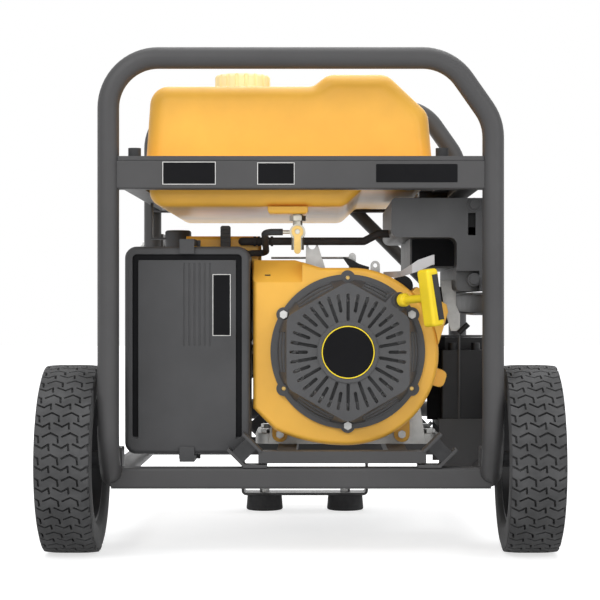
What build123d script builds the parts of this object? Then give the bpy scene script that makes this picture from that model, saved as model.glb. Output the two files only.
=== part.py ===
from build123d import *
import math
import os

os.makedirs("parts", exist_ok=True)

# Fits and gauges
run_gap = 0.08
free_gap = 0.5
sheet = 2.5
plate = 4.0
moulding = 3.0

# Frame tube
tube_d = 28.6
tube_wall = 2.0
frame_width = 507.0
frame_length = 650.0
frame_height = 675.0
rail_z = 104.0
bend_r = 66.0
shoulder_x = 195.0
shoulder_drop = 83.5

# Cross members of the frame
crossbar_height = 28.0
crossbar_depth = 30.0
crossbar_setback = 45.0
channel_bottom = 488.0
channel_height = 38.0
channel_reach = 28.0
channel_proud = 8.0
brace_d = 20.6
brace_top_x = 86.0
panel_rail_bottom = 322.0
panel_rail_height = 30.0

# Wheels, axles and feet
wheel_d = 254.0
wheel_width = 74.0
wheel_gap = 4.2
tread_drop = 2.5
axle_setback = 75.0
axle_d = 16.0
axle_saddle = 12.0
rim_d = 172.0
hub_d = 44.0
hub_inset = 16.0
rim_windows = 6
foot_d = 60.0
foot_height = 25.0
foot_span = 132.0
foot_plate_width = 206.0

# Folding rear handle
handle_d = 25.4
handle_gap = 7.0
handle_pivot_z = 430.0
handle_length = 270.0
handle_bend = 50.0
grip_d = 35.0
grip_length = 300.0
pivot_d = 10.0

# Engine cradle on rubber mounts
cradle_x = 55.0
cradle_top = 140.0
cradle_height = 16.0
cradle_bar = 26.0
cradle_rail_span = 150.0
mount_half = 130.8
mount_z = 141.0
rubber_thick = 25.0
rubber_height = 20.0
rubber_length = 30.0
mount_plate = 34.0
mount_angle = 45.0

# Engine, by stations behind the front hoop
crank_x = 63.0
crank_z = 272.0
recoil_setback = 42.0
recoil_depth = 40.0
blower_depth = 85.0
block_length = 160.0
block_r = 98.0
base_width = 222.0
base_thick = 14.0
shaft_d = 35.0
tail_shaft_d = 25.0
cylinder_angle = 25.0
barrel_d = 104.0
barrel_top = 188.0
fin_size = 124.0
fin_thick = 3.5
fin_pitch = 9.5
fin_count = 9
head_height = 46.0
valve_cover_height = 30.0

# Recoil starter and blower
recoil_r = 105.0
cover_flat = 82.5
cover_corner = 16.0
side_slots = 3
vent_width = 7.0
vent_pitch = 10.2
lug_circle_r = 100.5
slot_count = 36
slot_width = 4.4
slot_inner_r = 42.0
slot_outer_r = 78.5
emblem_r = 36.0
reel_r = 68.0
reel_thick = 14.0
post_d = 18.0
rope_d = 4.5
snout_r = 98.5
snout_angle = 45.0
pull_swing = 38.0
pull_rise = 3.0
stem_length = 62.0
stem_d = 11.0
grip_bar_d = 22.0
grip_bar_width = 20.0
grip_bar_length = 76.0
grip_bar_tilt = 9.0
blower_inlet_r = 90.0
duct_left = -66.0
duct_top = 397.0
slope_z = 366.0
fin_reach = 141.0
fin_angle = -17.0
flywheel_r = 92.0
fan_blades = 12

# Alternator
adapter_length = 45.0
stator_length = 130.0
stator_r = 98.0
end_cover_length = 70.0
rotor_r = 58.0
air_gap = 1.0
vent_count = 16

# Air cleaner box
air_x = -154.5
air_z = 274.0
air_width = 169.0
air_height = 281.0
air_setback = 66.0
air_cover_depth = 38.0
air_base_depth = 46.0
air_corner = 16.0
air_groove = 8.0
latch_width = 20.0

# Fuel tank and fuel system
tank_setback = 48.0
tank_left_gap = 43.5
tank_right_gap = 76.5
tank_top = 631.0
hump_left = 16.0
hump_right = 116.0
hump_rise = 16.0
tank_floor = 468.0
shelf_x = 82.0
shelf_z = 491.0
tank_wall = 2.0
tank_edge = 22.0
seam_flange = 16.0
cap_x = -87.0
cap_setback = 250.0
cap_d = 80.0
cap_height = 36.0
neck_d = 54.0
valve_x = -5.0
valve_setback = 68.0
hose_d = 9.0
loom_d = 11.0
loom_z = 424.5

# Control panel
panel_top = 479.0
panel_bottom = 354.0
panel_face_x = 245.0
panel_depth = 124.0
panel_leg = 36.0
panel_shelf = 53.0
panel_round = 10.0
panel_box = 96.0
panel_box_drop = 93.0
panel_pocket = 60.0
notch_depth = 14.0
notch_edge = 6.0
notch_top = 381.0
panel_boss_d = 18.0
panel_setback = 45.0
panel_length = 360.0
outlet_d = 54.0
duplex_width = 36.0
duplex_height = 70.0
breaker_d = 14.0

# Battery
battery_gap = 24.5
battery_width = 66.0
battery_length = 150.0
battery_height = 124.0
tray_z = 165.0

# Muffler
muffler_x = -150.0
muffler_z = 292.0
muffler_width = 160.0
muffler_height = 150.0
muffler_depth = 112.0
muffler_gap = 36.0
exhaust_d = 30.0
shield_gap = 9.0

# Places worked out from the sizes above
half_w = frame_width / 2
top_z = frame_height - tube_d / 2
tank_left = tank_left_gap - half_w
tank_right = half_w - tank_right_gap
front_reach = wheel_d / 2 - axle_setback
rear_reach = tube_d / 2 + handle_gap + handle_d / 2 + grip_d / 2
front_y = (front_reach - rear_reach - frame_length) / 2
rear_y = front_y + frame_length
mid_y = (front_y + rear_y) / 2
axle_y = front_y + axle_setback
axle_z = wheel_d / 2
wheel_in = half_w + tube_d / 2 + wheel_gap
wheel_mid = wheel_in + wheel_width / 2
bar_top = rail_z + crossbar_height / 2
bar_ys = (front_y + crossbar_setback, rear_y - crossbar_setback)
channel_top = channel_bottom + channel_height
seam_z = channel_top + tank_wall
handle_y = rear_y + tube_d / 2 + handle_gap + handle_d / 2
recoil_y = front_y + recoil_setback
blower_y = recoil_y + recoil_depth
block_y = blower_y + blower_depth
adapter_y = block_y + block_length
stator_y = adapter_y + adapter_length
end_y = stator_y + stator_length
barrel_y = block_y + block_length / 2
head_base = barrel_top
head_top = head_base + head_height
air_y = front_y + air_setback
air_base_y = air_y + air_cover_depth
air_back = air_base_y + air_base_depth
tank_y = front_y + tank_setback
tank_length = frame_length - 2 * tank_setback
cap_y = front_y + cap_setback
panel_y = front_y + panel_setback
battery_y = block_y + plate
battery_x = half_w - battery_gap
muffler_y = adapter_y + muffler_gap


def front_plane(y):
    """Sketch plane seen from the front: sketch X is X and sketch Y is Z."""
    return Plane(origin=(0, y, 0), x_dir=(1, 0, 0), z_dir=(0, -1, 0))


def side_plane(x):
    """Sketch plane seen from the right: sketch X is Y and sketch Y is Z."""
    return Plane(origin=(x, 0, 0), x_dir=(0, 1, 0), z_dir=(1, 0, 0))


def slab(sketch, y_front, depth):
    """Solid of a front-view outline that runs back from y_front."""
    return extrude(front_plane(y_front) * sketch, depth, dir=(0, 1, 0))


def disc(x, z, radius, y_front, depth, bore=0):
    """Round solid along Y, with a bore where one is given."""
    section = Circle(radius)
    if bore:
        section -= Circle(bore)
    return slab(Pos(x, z) * section, y_front, depth)


def block(x_range, y_range, z_range):
    """Box between two corners."""
    ranges = (x_range, y_range, z_range)
    sizes = [abs(high - low) for low, high in ranges]
    centres = [(low + high) / 2 for low, high in ranges]
    return Pos(*centres) * Box(*sizes)


def tube(points, diameter, bend=0, wall=0):
    """Round bar, or tube where a wall is given, through straight runs and equal bends."""
    path = FilletPolyline(*points, radius=bend) if len(points) > 2 else Line(*points)
    section = Circle(diameter / 2)
    if wall:
        section -= Circle(diameter / 2 - wall)
    return sweep(Plane(origin=path @ 0, z_dir=path % 0) * section, path=path)


def outline(corners, radii):
    """Closed face through corner points, each rounded by its own radius."""
    return make_face(FilletPolyline(*corners, radius=radii, close=True))


def bolt(seat, outward, shank_d, shank_length):
    """Hex bolt whose head rests on seat and points outward."""
    plane = Plane(origin=seat, z_dir=outward)
    head = extrude(plane * RegularPolygon(shank_d, 6), shank_d * 0.7)
    return head + extrude(plane * Circle(shank_d / 2), -shank_length)


def both_sides(solid):
    """The solid and its mirror image across the middle of the frame."""
    return Compound([solid, mirror(solid, about=Plane.YZ)])


def save(node, shape):
    """Write one sub-part."""
    solids = shape.solids()
    export_step(solids[0] if len(solids) == 1 else Compound(solids), f"parts/{node}.step")


# Frame of two bent hoops, cross members and tank channels


def hoop_points(y):
    """Corner points of a hoop, from the middle of one base rail round to the other."""
    return [
        (-half_w, mid_y, rail_z),
        (-half_w, y, rail_z),
        (-half_w, y, top_z),
        (shoulder_x, y, top_z),
        (half_w, y, top_z - shoulder_drop),
        (half_w, y, rail_z),
        (half_w, mid_y, rail_z),
    ]


hoop_rods = [tube(hoop_points(y), tube_d, bend_r) for y in (front_y, rear_y)]


def cope(solid):
    """Cut a member's ends to the round tubes that it is welded to."""
    return solid - hoop_rods[0] - hoop_rods[1]


def crossbar(y):
    """Square tube between the base rails."""
    corner = tube_wall * 2
    section = RectangleRounded(crossbar_depth, crossbar_height, corner)
    section -= RectangleRounded(crossbar_depth - corner, crossbar_height - corner, corner / 2)
    plane = Plane(origin=(-half_w, y, rail_z), x_dir=(0, 1, 0), z_dir=(1, 0, 0))
    return cope(extrude(plane * section, frame_width))


def tank_bolt_places():
    """Four places where the tank's seam flange is bolted to the channels."""
    inset = seam_flange * 0.6
    xs = (tank_left - inset, tank_right + inset)
    return [(x, y) for x in xs for y in (front_y + seam_flange / 2, rear_y - seam_flange / 2)]


bolt_d = 8.0


def tank_channel(y, facing):
    """Folded channel across a hoop, its web facing out, its flanges pointing in."""
    web = y + facing * channel_proud
    outer = block((-half_w, half_w), (web, web - facing * channel_reach), (channel_bottom, channel_top))
    fold_edges = outer.edges().filter_by(Axis.X).group_by(Axis.Y)[0 if facing < 0 else -1]
    outer = fillet(fold_edges, sheet)
    inner = block(
        (-half_w, half_w),
        (web - facing * sheet, web - facing * channel_reach * 2),
        (channel_bottom + sheet, channel_top - sheet),
    )
    channel = cope(outer - inner)
    for bx, by in tank_bolt_places():
        channel -= Pos(bx, by, channel_top) * Cylinder(bolt_d / 2, channel_height)
    return channel


def tank_side_rail(side):
    """Channel along one side, nested between the front and rear channels."""
    web = side * (half_w - tube_d / 2 - free_gap)
    ys = (front_y - channel_proud + sheet, rear_y + channel_proud - sheet)
    zs = (channel_bottom + sheet, channel_top - sheet)
    outer = block((web, web - side * channel_reach), ys, zs)
    inner = block(
        (web - side * sheet, web - side * channel_reach * 2), ys, (zs[0] + sheet, zs[1] - sheet)
    )
    rail = outer - inner
    for bx, by in tank_bolt_places():
        rail -= Pos(bx, by, channel_top) * Cylinder(bolt_d / 2, channel_height)
    return rail


def rear_brace():
    """Straight tube at 45 degrees from the rear channel down to the rear right leg."""
    reach = half_w - brace_top_x
    start = (brace_top_x - brace_d, rear_y, channel_bottom + brace_d)
    end = (half_w, rear_y, channel_bottom - reach)
    above = block((-half_w, half_w), (rear_y - tube_d, rear_y + tube_d), (channel_bottom, frame_height))
    return cope(tube([start, end], brace_d, wall=tube_wall) - above)


def panel_rail():
    """Channel between the right legs that carries the control panel."""
    web = panel_face_x
    ys = (front_y, rear_y)
    zs = (panel_rail_bottom, panel_rail_bottom + panel_rail_height)
    outer = block((web, web - panel_leg / 2), ys, zs)
    inner = block((web - sheet, web - panel_leg), ys, (zs[0] + sheet, zs[1] - sheet))
    return cope(outer - inner) - rear_brace_rod


rear_brace_rod = tube(
    [
        (brace_top_x, rear_y, channel_bottom),
        (half_w, rear_y, channel_bottom - (half_w - brace_top_x)),
    ],
    brace_d,
)


# Wheels, axles and feet


def axle_bracket():
    """Saddle welded on the right base rail that holds the axle just above it."""
    inside = half_w - axle_saddle
    outside = half_w + tube_d / 2
    length = 2 * (axle_setback - crossbar_setback - crossbar_depth / 2 - free_gap)
    ys = (axle_y - length / 2, axle_y + length / 2)
    saddle_top = axle_z + axle_d
    saddle = block((inside, outside + wheel_gap - 1.2), ys, (rail_z - plate, saddle_top))
    saddle = fillet(saddle.edges().filter_by(Axis.Y).group_by(Axis.Z)[-1], plate / 2)
    saddle -= block((inside + plate, outside), ys, (0, saddle_top - plate))
    return cope(saddle) - rod_x(inside - plate, outside + wheel_gap, axle_d / 2)


def rod_x(x_start, x_end, radius):
    """Round bar along X on the axle line."""
    return tube([(x_start, axle_y, axle_z), (x_end, axle_y, axle_z)], radius * 2)


def axle():
    """Stub axle of the right wheel, with its spacer and end head."""
    inside = half_w - axle_saddle
    spacer_start = half_w + tube_d / 2 + wheel_gap - 1.2
    hub_start = wheel_in + hub_inset
    hub_end = wheel_in + wheel_width - hub_inset
    pin = rod_x(inside, hub_end + free_gap, axle_d / 2)
    pin += rod_x(spacer_start, hub_start - free_gap, axle_d * 0.7)
    return pin + rod_x(hub_end + free_gap, hub_end + hub_inset * 0.6, axle_d * 0.8)


def wheel_plane(x):
    """Half-section plane of a wheel: sketch X is X from the wheel's middle, sketch Y the radius."""
    return Plane(origin=(x, axle_y, axle_z), x_dir=(1, 0, 0), z_dir=(0, -1, 0))


def tyre(x):
    """Solid rubber tyre with a nearly flat tread and rounded shoulders."""
    half = wheel_width / 2
    seat = rim_d / 2
    tread = wheel_d / 2
    corners = [
        (-half + 7, seat),
        (-half, seat + 9),
        (-half, tread - tread_drop),
        (-half * 0.5, tread),
        (half * 0.5, tread),
        (half, tread - tread_drop),
        (half, seat + 9),
        (half - 7, seat),
    ]
    section = outline(corners, [0, 6, 9, 0, 0, 9, 6, 0])
    return revolve(wheel_plane(x) * section, axis=Axis((x, axle_y, axle_z), (1, 0, 0)))


def rim(x):
    """Pressed rim with a dished web, windows and a long hub."""
    half = wheel_width / 2 - 7
    seat = rim_d / 2
    web = 5.0
    hub_half = wheel_width / 2 - hub_inset
    bore = axle_d / 2 + run_gap
    corners = [
        (-half, seat),
        (half, seat),
        (half, seat - web),
        (web / 2, seat - web * 2),
        (web / 2, hub_d / 2),
        (hub_half, hub_d / 2 - 3),
        (hub_half, bore),
        (-hub_half, bore),
        (-hub_half, hub_d / 2 - 3),
        (-web / 2, hub_d / 2),
        (-web / 2, seat - web * 2),
        (-half, seat - web),
    ]
    section = outline(corners, [0, 0, 0, 4, 4, 2, 0, 0, 2, 4, 4, 0])
    turned = revolve(wheel_plane(x) * section, axis=Axis((x, axle_y, axle_z), (1, 0, 0)))
    window_mid = (seat - web * 2 + hub_d / 2) / 2
    window_r = (seat - web * 2 - hub_d / 2) / 2 - 5
    for n in range(rim_windows):
        angle = 2 * math.pi * n / rim_windows
        place = (x - web, axle_y + window_mid * math.cos(angle), axle_z + window_mid * math.sin(angle))
        turned -= extrude(Plane(origin=place, z_dir=(1, 0, 0)) * Circle(window_r), web * 2)
    return turned


foot_y = bar_ys[1]
foot_bolt_d = 8.0


def foot_bracket():
    """Folded strap under the rear crossbar, its ends turned up against the bar."""
    half = foot_plate_width / 2
    depth = foot_d * 0.75
    ys = (foot_y - depth / 2, foot_y + depth / 2)
    low = foot_height
    high = rail_z - crossbar_height / 2
    outer = block((-half, half), ys, (low, high))
    outer = fillet(outer.edges().filter_by(Axis.Y).group_by(Axis.Z)[0], plate * 2)
    inner = block((-half + plate, half - plate), ys, (low + plate, high + plate))
    inner = fillet(inner.edges().filter_by(Axis.Y).group_by(Axis.Z)[0], plate)
    strap = outer - inner
    for x in (-foot_span / 2, foot_span / 2):
        strap -= Pos(x, foot_y, low) * Cylinder(foot_bolt_d / 2, plate * 4)
    return strap


def rubber_foot(x):
    """Round rubber foot, slightly tapered, drilled for its bolt."""
    foot = Pos(x, foot_y, foot_height / 2) * Cone(foot_d / 2, foot_d / 2 - 2, foot_height)
    foot = fillet(foot.edges().group_by(Axis.Z)[0], 3)
    return foot - Pos(x, foot_y, foot_height) * Cylinder(foot_bolt_d / 2, foot_height)


def foot_bolt(x):
    """Bolt down through the bracket into a rubber foot."""
    return bolt((x, foot_y, foot_height + plate), (0, 0, 1), foot_bolt_d, plate + foot_height / 2)


# Folding handle behind the rear hoop


def handle_tube():
    """U-shaped handle that hangs from two pivots on the rear legs."""
    low = handle_pivot_z - handle_length
    high = handle_pivot_z + handle_d / 2
    points = [
        (-half_w, handle_y, high),
        (-half_w, handle_y, low),
        (half_w, handle_y, low),
        (half_w, handle_y, high),
    ]
    bent = tube(points, handle_d, handle_bend, tube_wall)
    drill = tube([(-frame_width, handle_y, handle_pivot_z), (frame_width, handle_y, handle_pivot_z)],
                 pivot_d + 2 * run_gap)
    return bent - drill


def handle_grip():
    """Foam sleeve on the handle's cross bar."""
    low = handle_pivot_z - handle_length
    half = grip_length / 2
    plane = Plane(origin=(-half, handle_y, low), x_dir=(0, 1, 0), z_dir=(1, 0, 0))
    sleeve = extrude(plane * (Circle(grip_d / 2) - Circle(handle_d / 2)), grip_length)
    rims = sleeve.edges().filter_by(GeomType.CIRCLE).sort_by(SortBy.RADIUS)[-2:]
    return fillet(rims, 3)


ear_in = half_w - handle_d / 2 - free_gap


def handle_ear():
    """Pivot plate welded to the right rear leg."""
    tall = handle_d * 1.8
    ys = (rear_y, handle_y + handle_d / 2)
    ear = block((ear_in - plate, ear_in), ys, (handle_pivot_z - tall / 2, handle_pivot_z + tall / 2))
    ear = fillet(ear.edges().filter_by(Axis.X).group_by(Axis.Y)[-1], handle_d / 2 - 1)
    drill = tube([(ear_in - plate * 2, handle_y, handle_pivot_z), (half_w, handle_y, handle_pivot_z)], pivot_d)
    return cope(ear) - drill


def handle_pivot():
    """Pivot bolt through the right ear and the handle's arm."""
    head_x = ear_in - plate
    far_x = half_w + handle_d / 2 + free_gap
    pin = bolt((head_x, handle_y, handle_pivot_z), (-1, 0, 0), pivot_d, far_x - head_x + pivot_d)
    nut = Plane(origin=(far_x, handle_y, handle_pivot_z), z_dir=(1, 0, 0)) * RegularPolygon(pivot_d, 6)
    return pin + extrude(nut, pivot_d * 0.7)


# Engine cradle, rubber mounts and their brackets


def tilted(x, y, z, side, solid):
    """Set a solid on the slope of the rubber mounts at one side."""
    return Location((x, y, z), (0, mount_angle * side, 0)) * solid


def mount_place(side, shift):
    """Point on a mount's axis, shifted from the rubber's middle down and outward."""
    slope = math.radians(mount_angle)
    x = cradle_x + side * (mount_half + shift * math.cos(slope))
    return x, mount_z - shift * math.sin(slope)


def rubber_mount(side, y):
    """Square rubber block between the sloping plates."""
    x, z = mount_place(side, 0)
    return tilted(x, y, z, side, Box(rubber_thick, rubber_length, rubber_height))


def mount_bracket(side, y):
    """Frame bracket: a flat pad on the crossbar and a plate rising at the mount's slope."""
    x, z = mount_place(side, rubber_thick / 2 + plate / 2)
    slope = tilted(x, y, z, side, Box(plate, rubber_length, mount_plate))
    pad_in = cradle_x + side * (mount_half - rubber_length)
    pad_out = x - side * mount_plate * 0.25
    pad = block((pad_in, pad_out), (y - rubber_length / 2, y + rubber_length / 2), (bar_top, bar_top + plate))
    below = block((x - frame_width, x + frame_width), (y - rubber_length, y + rubber_length), (0, bar_top))
    return pad + slope - below


def cradle():
    """Welded sub-frame: two cross bars with turned-up ends, and two rails under the engine."""
    zs = (cradle_top - cradle_height, cradle_top)
    rail_ys = (bar_ys[0] - cradle_bar / 2, bar_ys[1] + cradle_bar / 2)
    frame = None
    for x in (cradle_x - cradle_rail_span / 2, cradle_x + cradle_rail_span / 2):
        rail = block((x - cradle_bar / 2, x + cradle_bar / 2), rail_ys, zs)
        rail -= block(
            (x - cradle_bar / 2 + sheet, x + cradle_bar / 2 - sheet), rail_ys, (zs[0], zs[1] - sheet)
        )
        frame = rail if frame is None else frame + rail
    end = mount_half - mount_plate * 0.55
    for y in bar_ys:
        frame += block((cradle_x - end, cradle_x + end), (y - cradle_bar / 2, y + cradle_bar / 2), zs)
        for side in (-1, 1):
            x, z = mount_place(side, -rubber_thick / 2 - plate / 2)
            frame += tilted(x, y, z, side, Box(plate, rubber_length, mount_plate))
    return frame


# Engine block, cylinder head and shaft


def block_outline():
    """Front view of the crankcase: round about the shaft, widening to its base."""
    waist = crank_z - block_r * 0.45
    skirt = Polygon(
        (crank_x - block_r, waist),
        (crank_x - base_width / 2, cradle_top),
        (crank_x + base_width / 2, cradle_top),
        (crank_x + block_r, waist),
        (crank_x, crank_z),
        align=None,
    )
    return Pos(crank_x, crank_z) * Circle(block_r) + skirt


def on_cylinder(solid):
    """Place a solid modelled about an upright cylinder on the engine's sloping cylinder."""
    return Location((crank_x, barrel_y, crank_z), (0, cylinder_angle - 90, 0)) * solid


base_ys = (block_y + 22, adapter_y - 22)
base_bolt_x = base_width / 2 + 6


def engine_block():
    """Crankcase and finned barrel cast in one piece, bored for the shaft."""
    case = slab(block_outline(), block_y, block_length)
    flange = block(
        (crank_x - base_width / 2 - 18, crank_x + base_width / 2 + 18),
        (base_ys[0] - 18, base_ys[1] + 18),
        (cradle_top, cradle_top + base_thick),
    )
    flange = fillet(flange.edges().filter_by(Axis.Z), 14)
    barrel = on_cylinder(Pos(0, 0, barrel_top / 2) * Cylinder(barrel_d / 2, barrel_top))
    casting = case + flange + barrel
    for n in range(fin_count):
        height = barrel_top - fin_thick / 2 - n * fin_pitch
        casting += on_cylinder(Pos(0, 0, height) * Box(fin_size, fin_size, fin_thick))
    casting -= disc(crank_x, crank_z, shaft_d / 2 + run_gap, block_y, block_length)
    for x in (-base_bolt_x, base_bolt_x):
        for y in base_ys:
            casting -= Pos(crank_x + x, y, cradle_top) * Cylinder(bolt_d / 2, base_thick * 4)
    return casting


def engine_bolts():
    """Bolts that hold the engine's base down on the cradle."""
    seat = cradle_top + base_thick
    places = [(crank_x + x, y, seat) for x in (-base_bolt_x, base_bolt_x) for y in base_ys]
    return Compound([bolt(place, (0, 0, 1), bolt_d, base_thick) for place in places])


def cylinder_head():
    """Finned head on the end of the barrel, with the plug's well on its upper side."""
    body = Pos(0, 0, head_base + head_height / 2) * Box(fin_size * 0.78, fin_size * 0.84, head_height)
    for n in range(4):
        height = head_base + fin_thick / 2 + n * fin_pitch
        body += Pos(0, 0, height) * Box(fin_size, fin_size, fin_thick)
    return on_cylinder(body)


def valve_cover():
    """Pressed cover on the cylinder head."""
    rim_height = 4.0
    width = fin_size * 0.78
    depth = fin_size * 0.84
    rim_plate = Pos(0, 0, head_top + rim_height / 2) * Box(width, depth, rim_height)
    dome = Pos(0, 0, head_top + valve_cover_height / 2) * Box(width - 14, depth - 14, valve_cover_height)
    dome = fillet(dome.edges().group_by(Axis.Z)[-1] + dome.edges().filter_by(Axis.Z), 9)
    return on_cylinder(rim_plate + dome)


def spark_plug():
    """Plug with its boot, screwed into the head's upper side."""
    out = fin_size * 0.39
    plane = Plane(origin=(-out, 0, head_top - 7), z_dir=(-1, 0, 0))
    plug = extrude(plane * RegularPolygon(6.5, 6), 14)
    plug += extrude(plane.offset(14) * Circle(4.5), 14)
    plug += extrude(plane.offset(28) * Circle(8), 26)
    tip = plug.edges().filter_by(GeomType.CIRCLE).sort_by_distance(plane.offset(54).origin)[0]
    return on_cylinder(fillet(tip, 4))


def crankshaft():
    """Shaft from the starter cup through the block to the alternator's rear bearing."""
    nose = disc(crank_x, crank_z, shaft_d * 0.4, flywheel_y - 12, block_y - flywheel_y + 12)
    main = disc(crank_x, crank_z, shaft_d / 2, block_y, stator_y - block_y)
    tail = disc(crank_x, crank_z, tail_shaft_d / 2, stator_y, stator_length + end_cover_length * 0.6)
    return nose + main + tail


# Blower, flywheel and recoil starter

blower_wall = 2.0
flywheel_depth = 26.0
blade_height = 22.0
flywheel_y = block_y - flywheel_depth - 14.0
cup_r = 42.0


def blower_outline():
    """Volute that widens as it turns, with a duct towards the cylinder and an ear over the starter."""

    def at(radius, degrees):
        angle = math.radians(degrees)
        return crank_x + radius * math.cos(angle), crank_z + radius * math.sin(angle)

    radii = {90: 114.0, 45: 119.0, 0: 124.0, -45: 126.0, -90: 128.0, -112: 133.0, -133: 146.0}
    top = at(radii[90], 90)
    side = at(radii[0], 0)
    bottom = at(radii[-90], -90)
    lip = at(radii[-133], -133)
    duct_low = (duct_left, lip[1] + lip[0] - duct_left)
    edge = Line((duct_left, duct_top), (crank_x - 72, duct_top))
    edge += Line((crank_x - 72, duct_top), (crank_x - 36, top[1]))
    edge += Line((crank_x - 36, top[1]), top)
    edge += ThreePointArc(top, at(radii[45], 45), side)
    edge += ThreePointArc(side, at(radii[-45], -45), bottom)
    edge += ThreePointArc(bottom, at(radii[-112], -112), lip)
    edge += Line(lip, duct_low)
    edge += Line(duct_low, (duct_left, duct_top))
    ear = Polygon((crank_x, crank_z), at(129, 43), at(149, 25.5), at(147, 21.5), at(124, 4.5), align=None)
    return make_face(edge) + ear


def recoil_lugs():
    """Angles and centres of the six lugs round the recoil cover."""
    places = []
    for degrees in range(30, 390, 60):
        angle = math.radians(degrees)
        x = crank_x + lug_circle_r * math.cos(angle)
        places.append((degrees, x, crank_z + lug_circle_r * math.sin(angle)))
    return places


lug_bolt_d = 6.0
tab_depth = 118.0
tab_left = 94.0
tab_right = 77.0
blower_tabs = ((crank_x - tab_left, crank_z - tab_depth), (crank_x + tab_right, crank_z - tab_depth))


def duct_slope(inset):
    """Wedge that slopes the duct's top back from the front face."""
    low = slope_z - inset * 1.5
    wedge = Polygon(
        (blower_y - 10, low - 10), (blower_y + 60, low + 60), (blower_y - 10, low + 60), align=None
    )
    return extrude(side_plane(duct_left - 10) * wedge, crank_x - 62 - duct_left + 10 + inset, dir=(1, 0, 0))


def blower_housing():
    """Pressed housing, open at the back over the block, with the starter's round inlet."""
    outer = slab(blower_outline(), blower_y, blower_depth)
    front_edges = outer.faces().sort_by(Axis.Y)[0].edges()
    outer = fillet(front_edges, 6)
    cavity = slab(offset(blower_outline(), -blower_wall), blower_y + blower_wall, blower_depth)
    slope = duct_slope(0)
    housing = (outer - slope) - (cavity - duct_slope(blower_wall))
    fin = block((100, fin_reach), (blower_y + 34, blower_y + 62), (-11, 13))
    fin = fillet(fin.edges().filter_by(Axis.Y).group_by(Axis.X)[-1], 8)
    housing += about_crank(fin_angle, fin) - slab(blower_outline(), blower_y, blower_depth)
    for x, z in blower_tabs:
        tab = slab(Pos(x, z) * Circle(11) + Pos(x, z + 10) * Rectangle(22, 20), block_y - 6, 6)
        housing += tab - slab(blower_outline(), blower_y, blower_depth)
        housing -= disc(x, z, lug_bolt_d / 2, blower_y, blower_depth)
    housing -= disc(crank_x, crank_z, blower_inlet_r, blower_y, blower_wall * 4)
    for degrees, x, z in recoil_lugs():
        housing -= disc(x, z, lug_bolt_d / 2, blower_y, blower_wall * 4)
    return housing


def pull_direction():
    """Unit vector along which the starter rope leaves the recoil cover."""
    swing = math.radians(pull_swing)
    rise = math.radians(pull_rise)
    return Vector(math.sin(swing) * math.cos(rise), -math.cos(swing) * math.cos(rise), math.sin(rise))


def pull_point(distance):
    """Point on the rope's line, measured from the mouth of the snout."""
    angle = math.radians(snout_angle)
    mouth = Vector(
        crank_x + snout_r * math.cos(angle), recoil_y + 2, crank_z + snout_r * math.sin(angle)
    )
    return mouth + pull_direction() * distance


def pull_plane(distance):
    """Plane across the rope's line, its X axis along the tilted grip."""
    tilt = math.radians(grip_bar_tilt)
    up = Vector(-math.sin(tilt), 0, math.cos(tilt))
    axis = pull_direction()
    across = (up - axis * up.dot(axis)).normalized()
    return Plane(origin=pull_point(distance), x_dir=across, z_dir=axis)


def cover_cup(inset, front, back):
    """Solid that runs from a six-sided front with rounded corners to a round back."""
    flat = cover_flat - inset
    six = fillet(RegularPolygon(flat / math.cos(math.pi / 6), 6, rotation=30).vertices(), cover_corner)
    rim = Circle(recoil_r - 7 - inset)
    ends = [front_plane(y) * Pos(crank_x, crank_z) * sketch for y, sketch in ((front, six), (back, rim))]
    return loft(ends)


def about_crank(degrees, solid):
    """Turn a solid about the crankshaft: its X axis then points outward at that angle."""
    return Location((crank_x, 0, crank_z), (0, -degrees, 0)) * solid


def recoil_cover():
    """Slotted six-sided cup over the starter reel, with lugs, side vents, a post and the rope's snout."""
    wall = moulding
    lip = 6.0
    lip_y = blower_y - lip
    outer = cover_cup(0, recoil_y, lip_y)
    cavity = cover_cup(wall, recoil_y + wall, lip_y)
    cover = outer - cavity
    cover += disc(crank_x, crank_z, recoil_r, lip_y, lip, recoil_r - 7 - wall)
    for degrees, x, z in recoil_lugs():
        pocket = disc(x, z, 10, recoil_y, recoil_depth - lip) & outer
        cover += pocket
        cover -= disc(x, z, 7.5, recoil_y - 1, recoil_depth - lip + 1)
        cover += disc(x, z, 10, lip_y, lip)
        cover -= disc(x, z, lug_bolt_d / 2, recoil_y, recoil_depth)
    arm = block((cover_flat - 8, snout_r + 2), (recoil_y, recoil_y + 22), (-12, 12))
    ahead = extrude(pull_plane(0) * Rectangle(recoil_r, recoil_r), recoil_r)
    snout = extrude(pull_plane(-20) * Circle(stem_d), 20) + about_crank(snout_angle, arm) - ahead
    cover += snout - cavity
    cover += disc(crank_x, crank_z, emblem_r + 5, recoil_y - 2, 3)
    cover -= disc(crank_x, crank_z, emblem_r, recoil_y - 2, 2)
    cover += disc(crank_x, crank_z, post_d / 2, recoil_y + wall, recoil_depth * 0.72)
    cuts = None
    for n in range(slot_count):
        inner = slot_inner_r if n % 2 else slot_inner_r + 12
        length = slot_outer_r - inner
        slot = Pos((slot_outer_r + inner) / 2, 0) * SlotOverall(length, slot_width)
        turned = Pos(crank_x, crank_z) * Rot(0, 0, 360 * n / slot_count) * slot
        cuts = turned if cuts is None else cuts + turned
    cover -= slab(cuts, recoil_y - 1, wall + 2)
    for n in range(6):
        for step in range(side_slots):
            y = recoil_y + 6 + step * vent_pitch
            vent = block((cover_flat - 8, recoil_r - 4), (y, y + vent_width), (-27, 27))
            cover -= about_crank(60 * n, vent) - snout_guard()
    cover -= extrude(pull_plane(-60) * Circle(rope_d / 2 + free_gap), 70)
    return cover


def snout_guard():
    """Space round the rope's snout that the side vents leave solid."""
    return about_crank(snout_angle, block((0, recoil_r * 2), (recoil_y - 1, blower_y), (-14, 14)))


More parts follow.
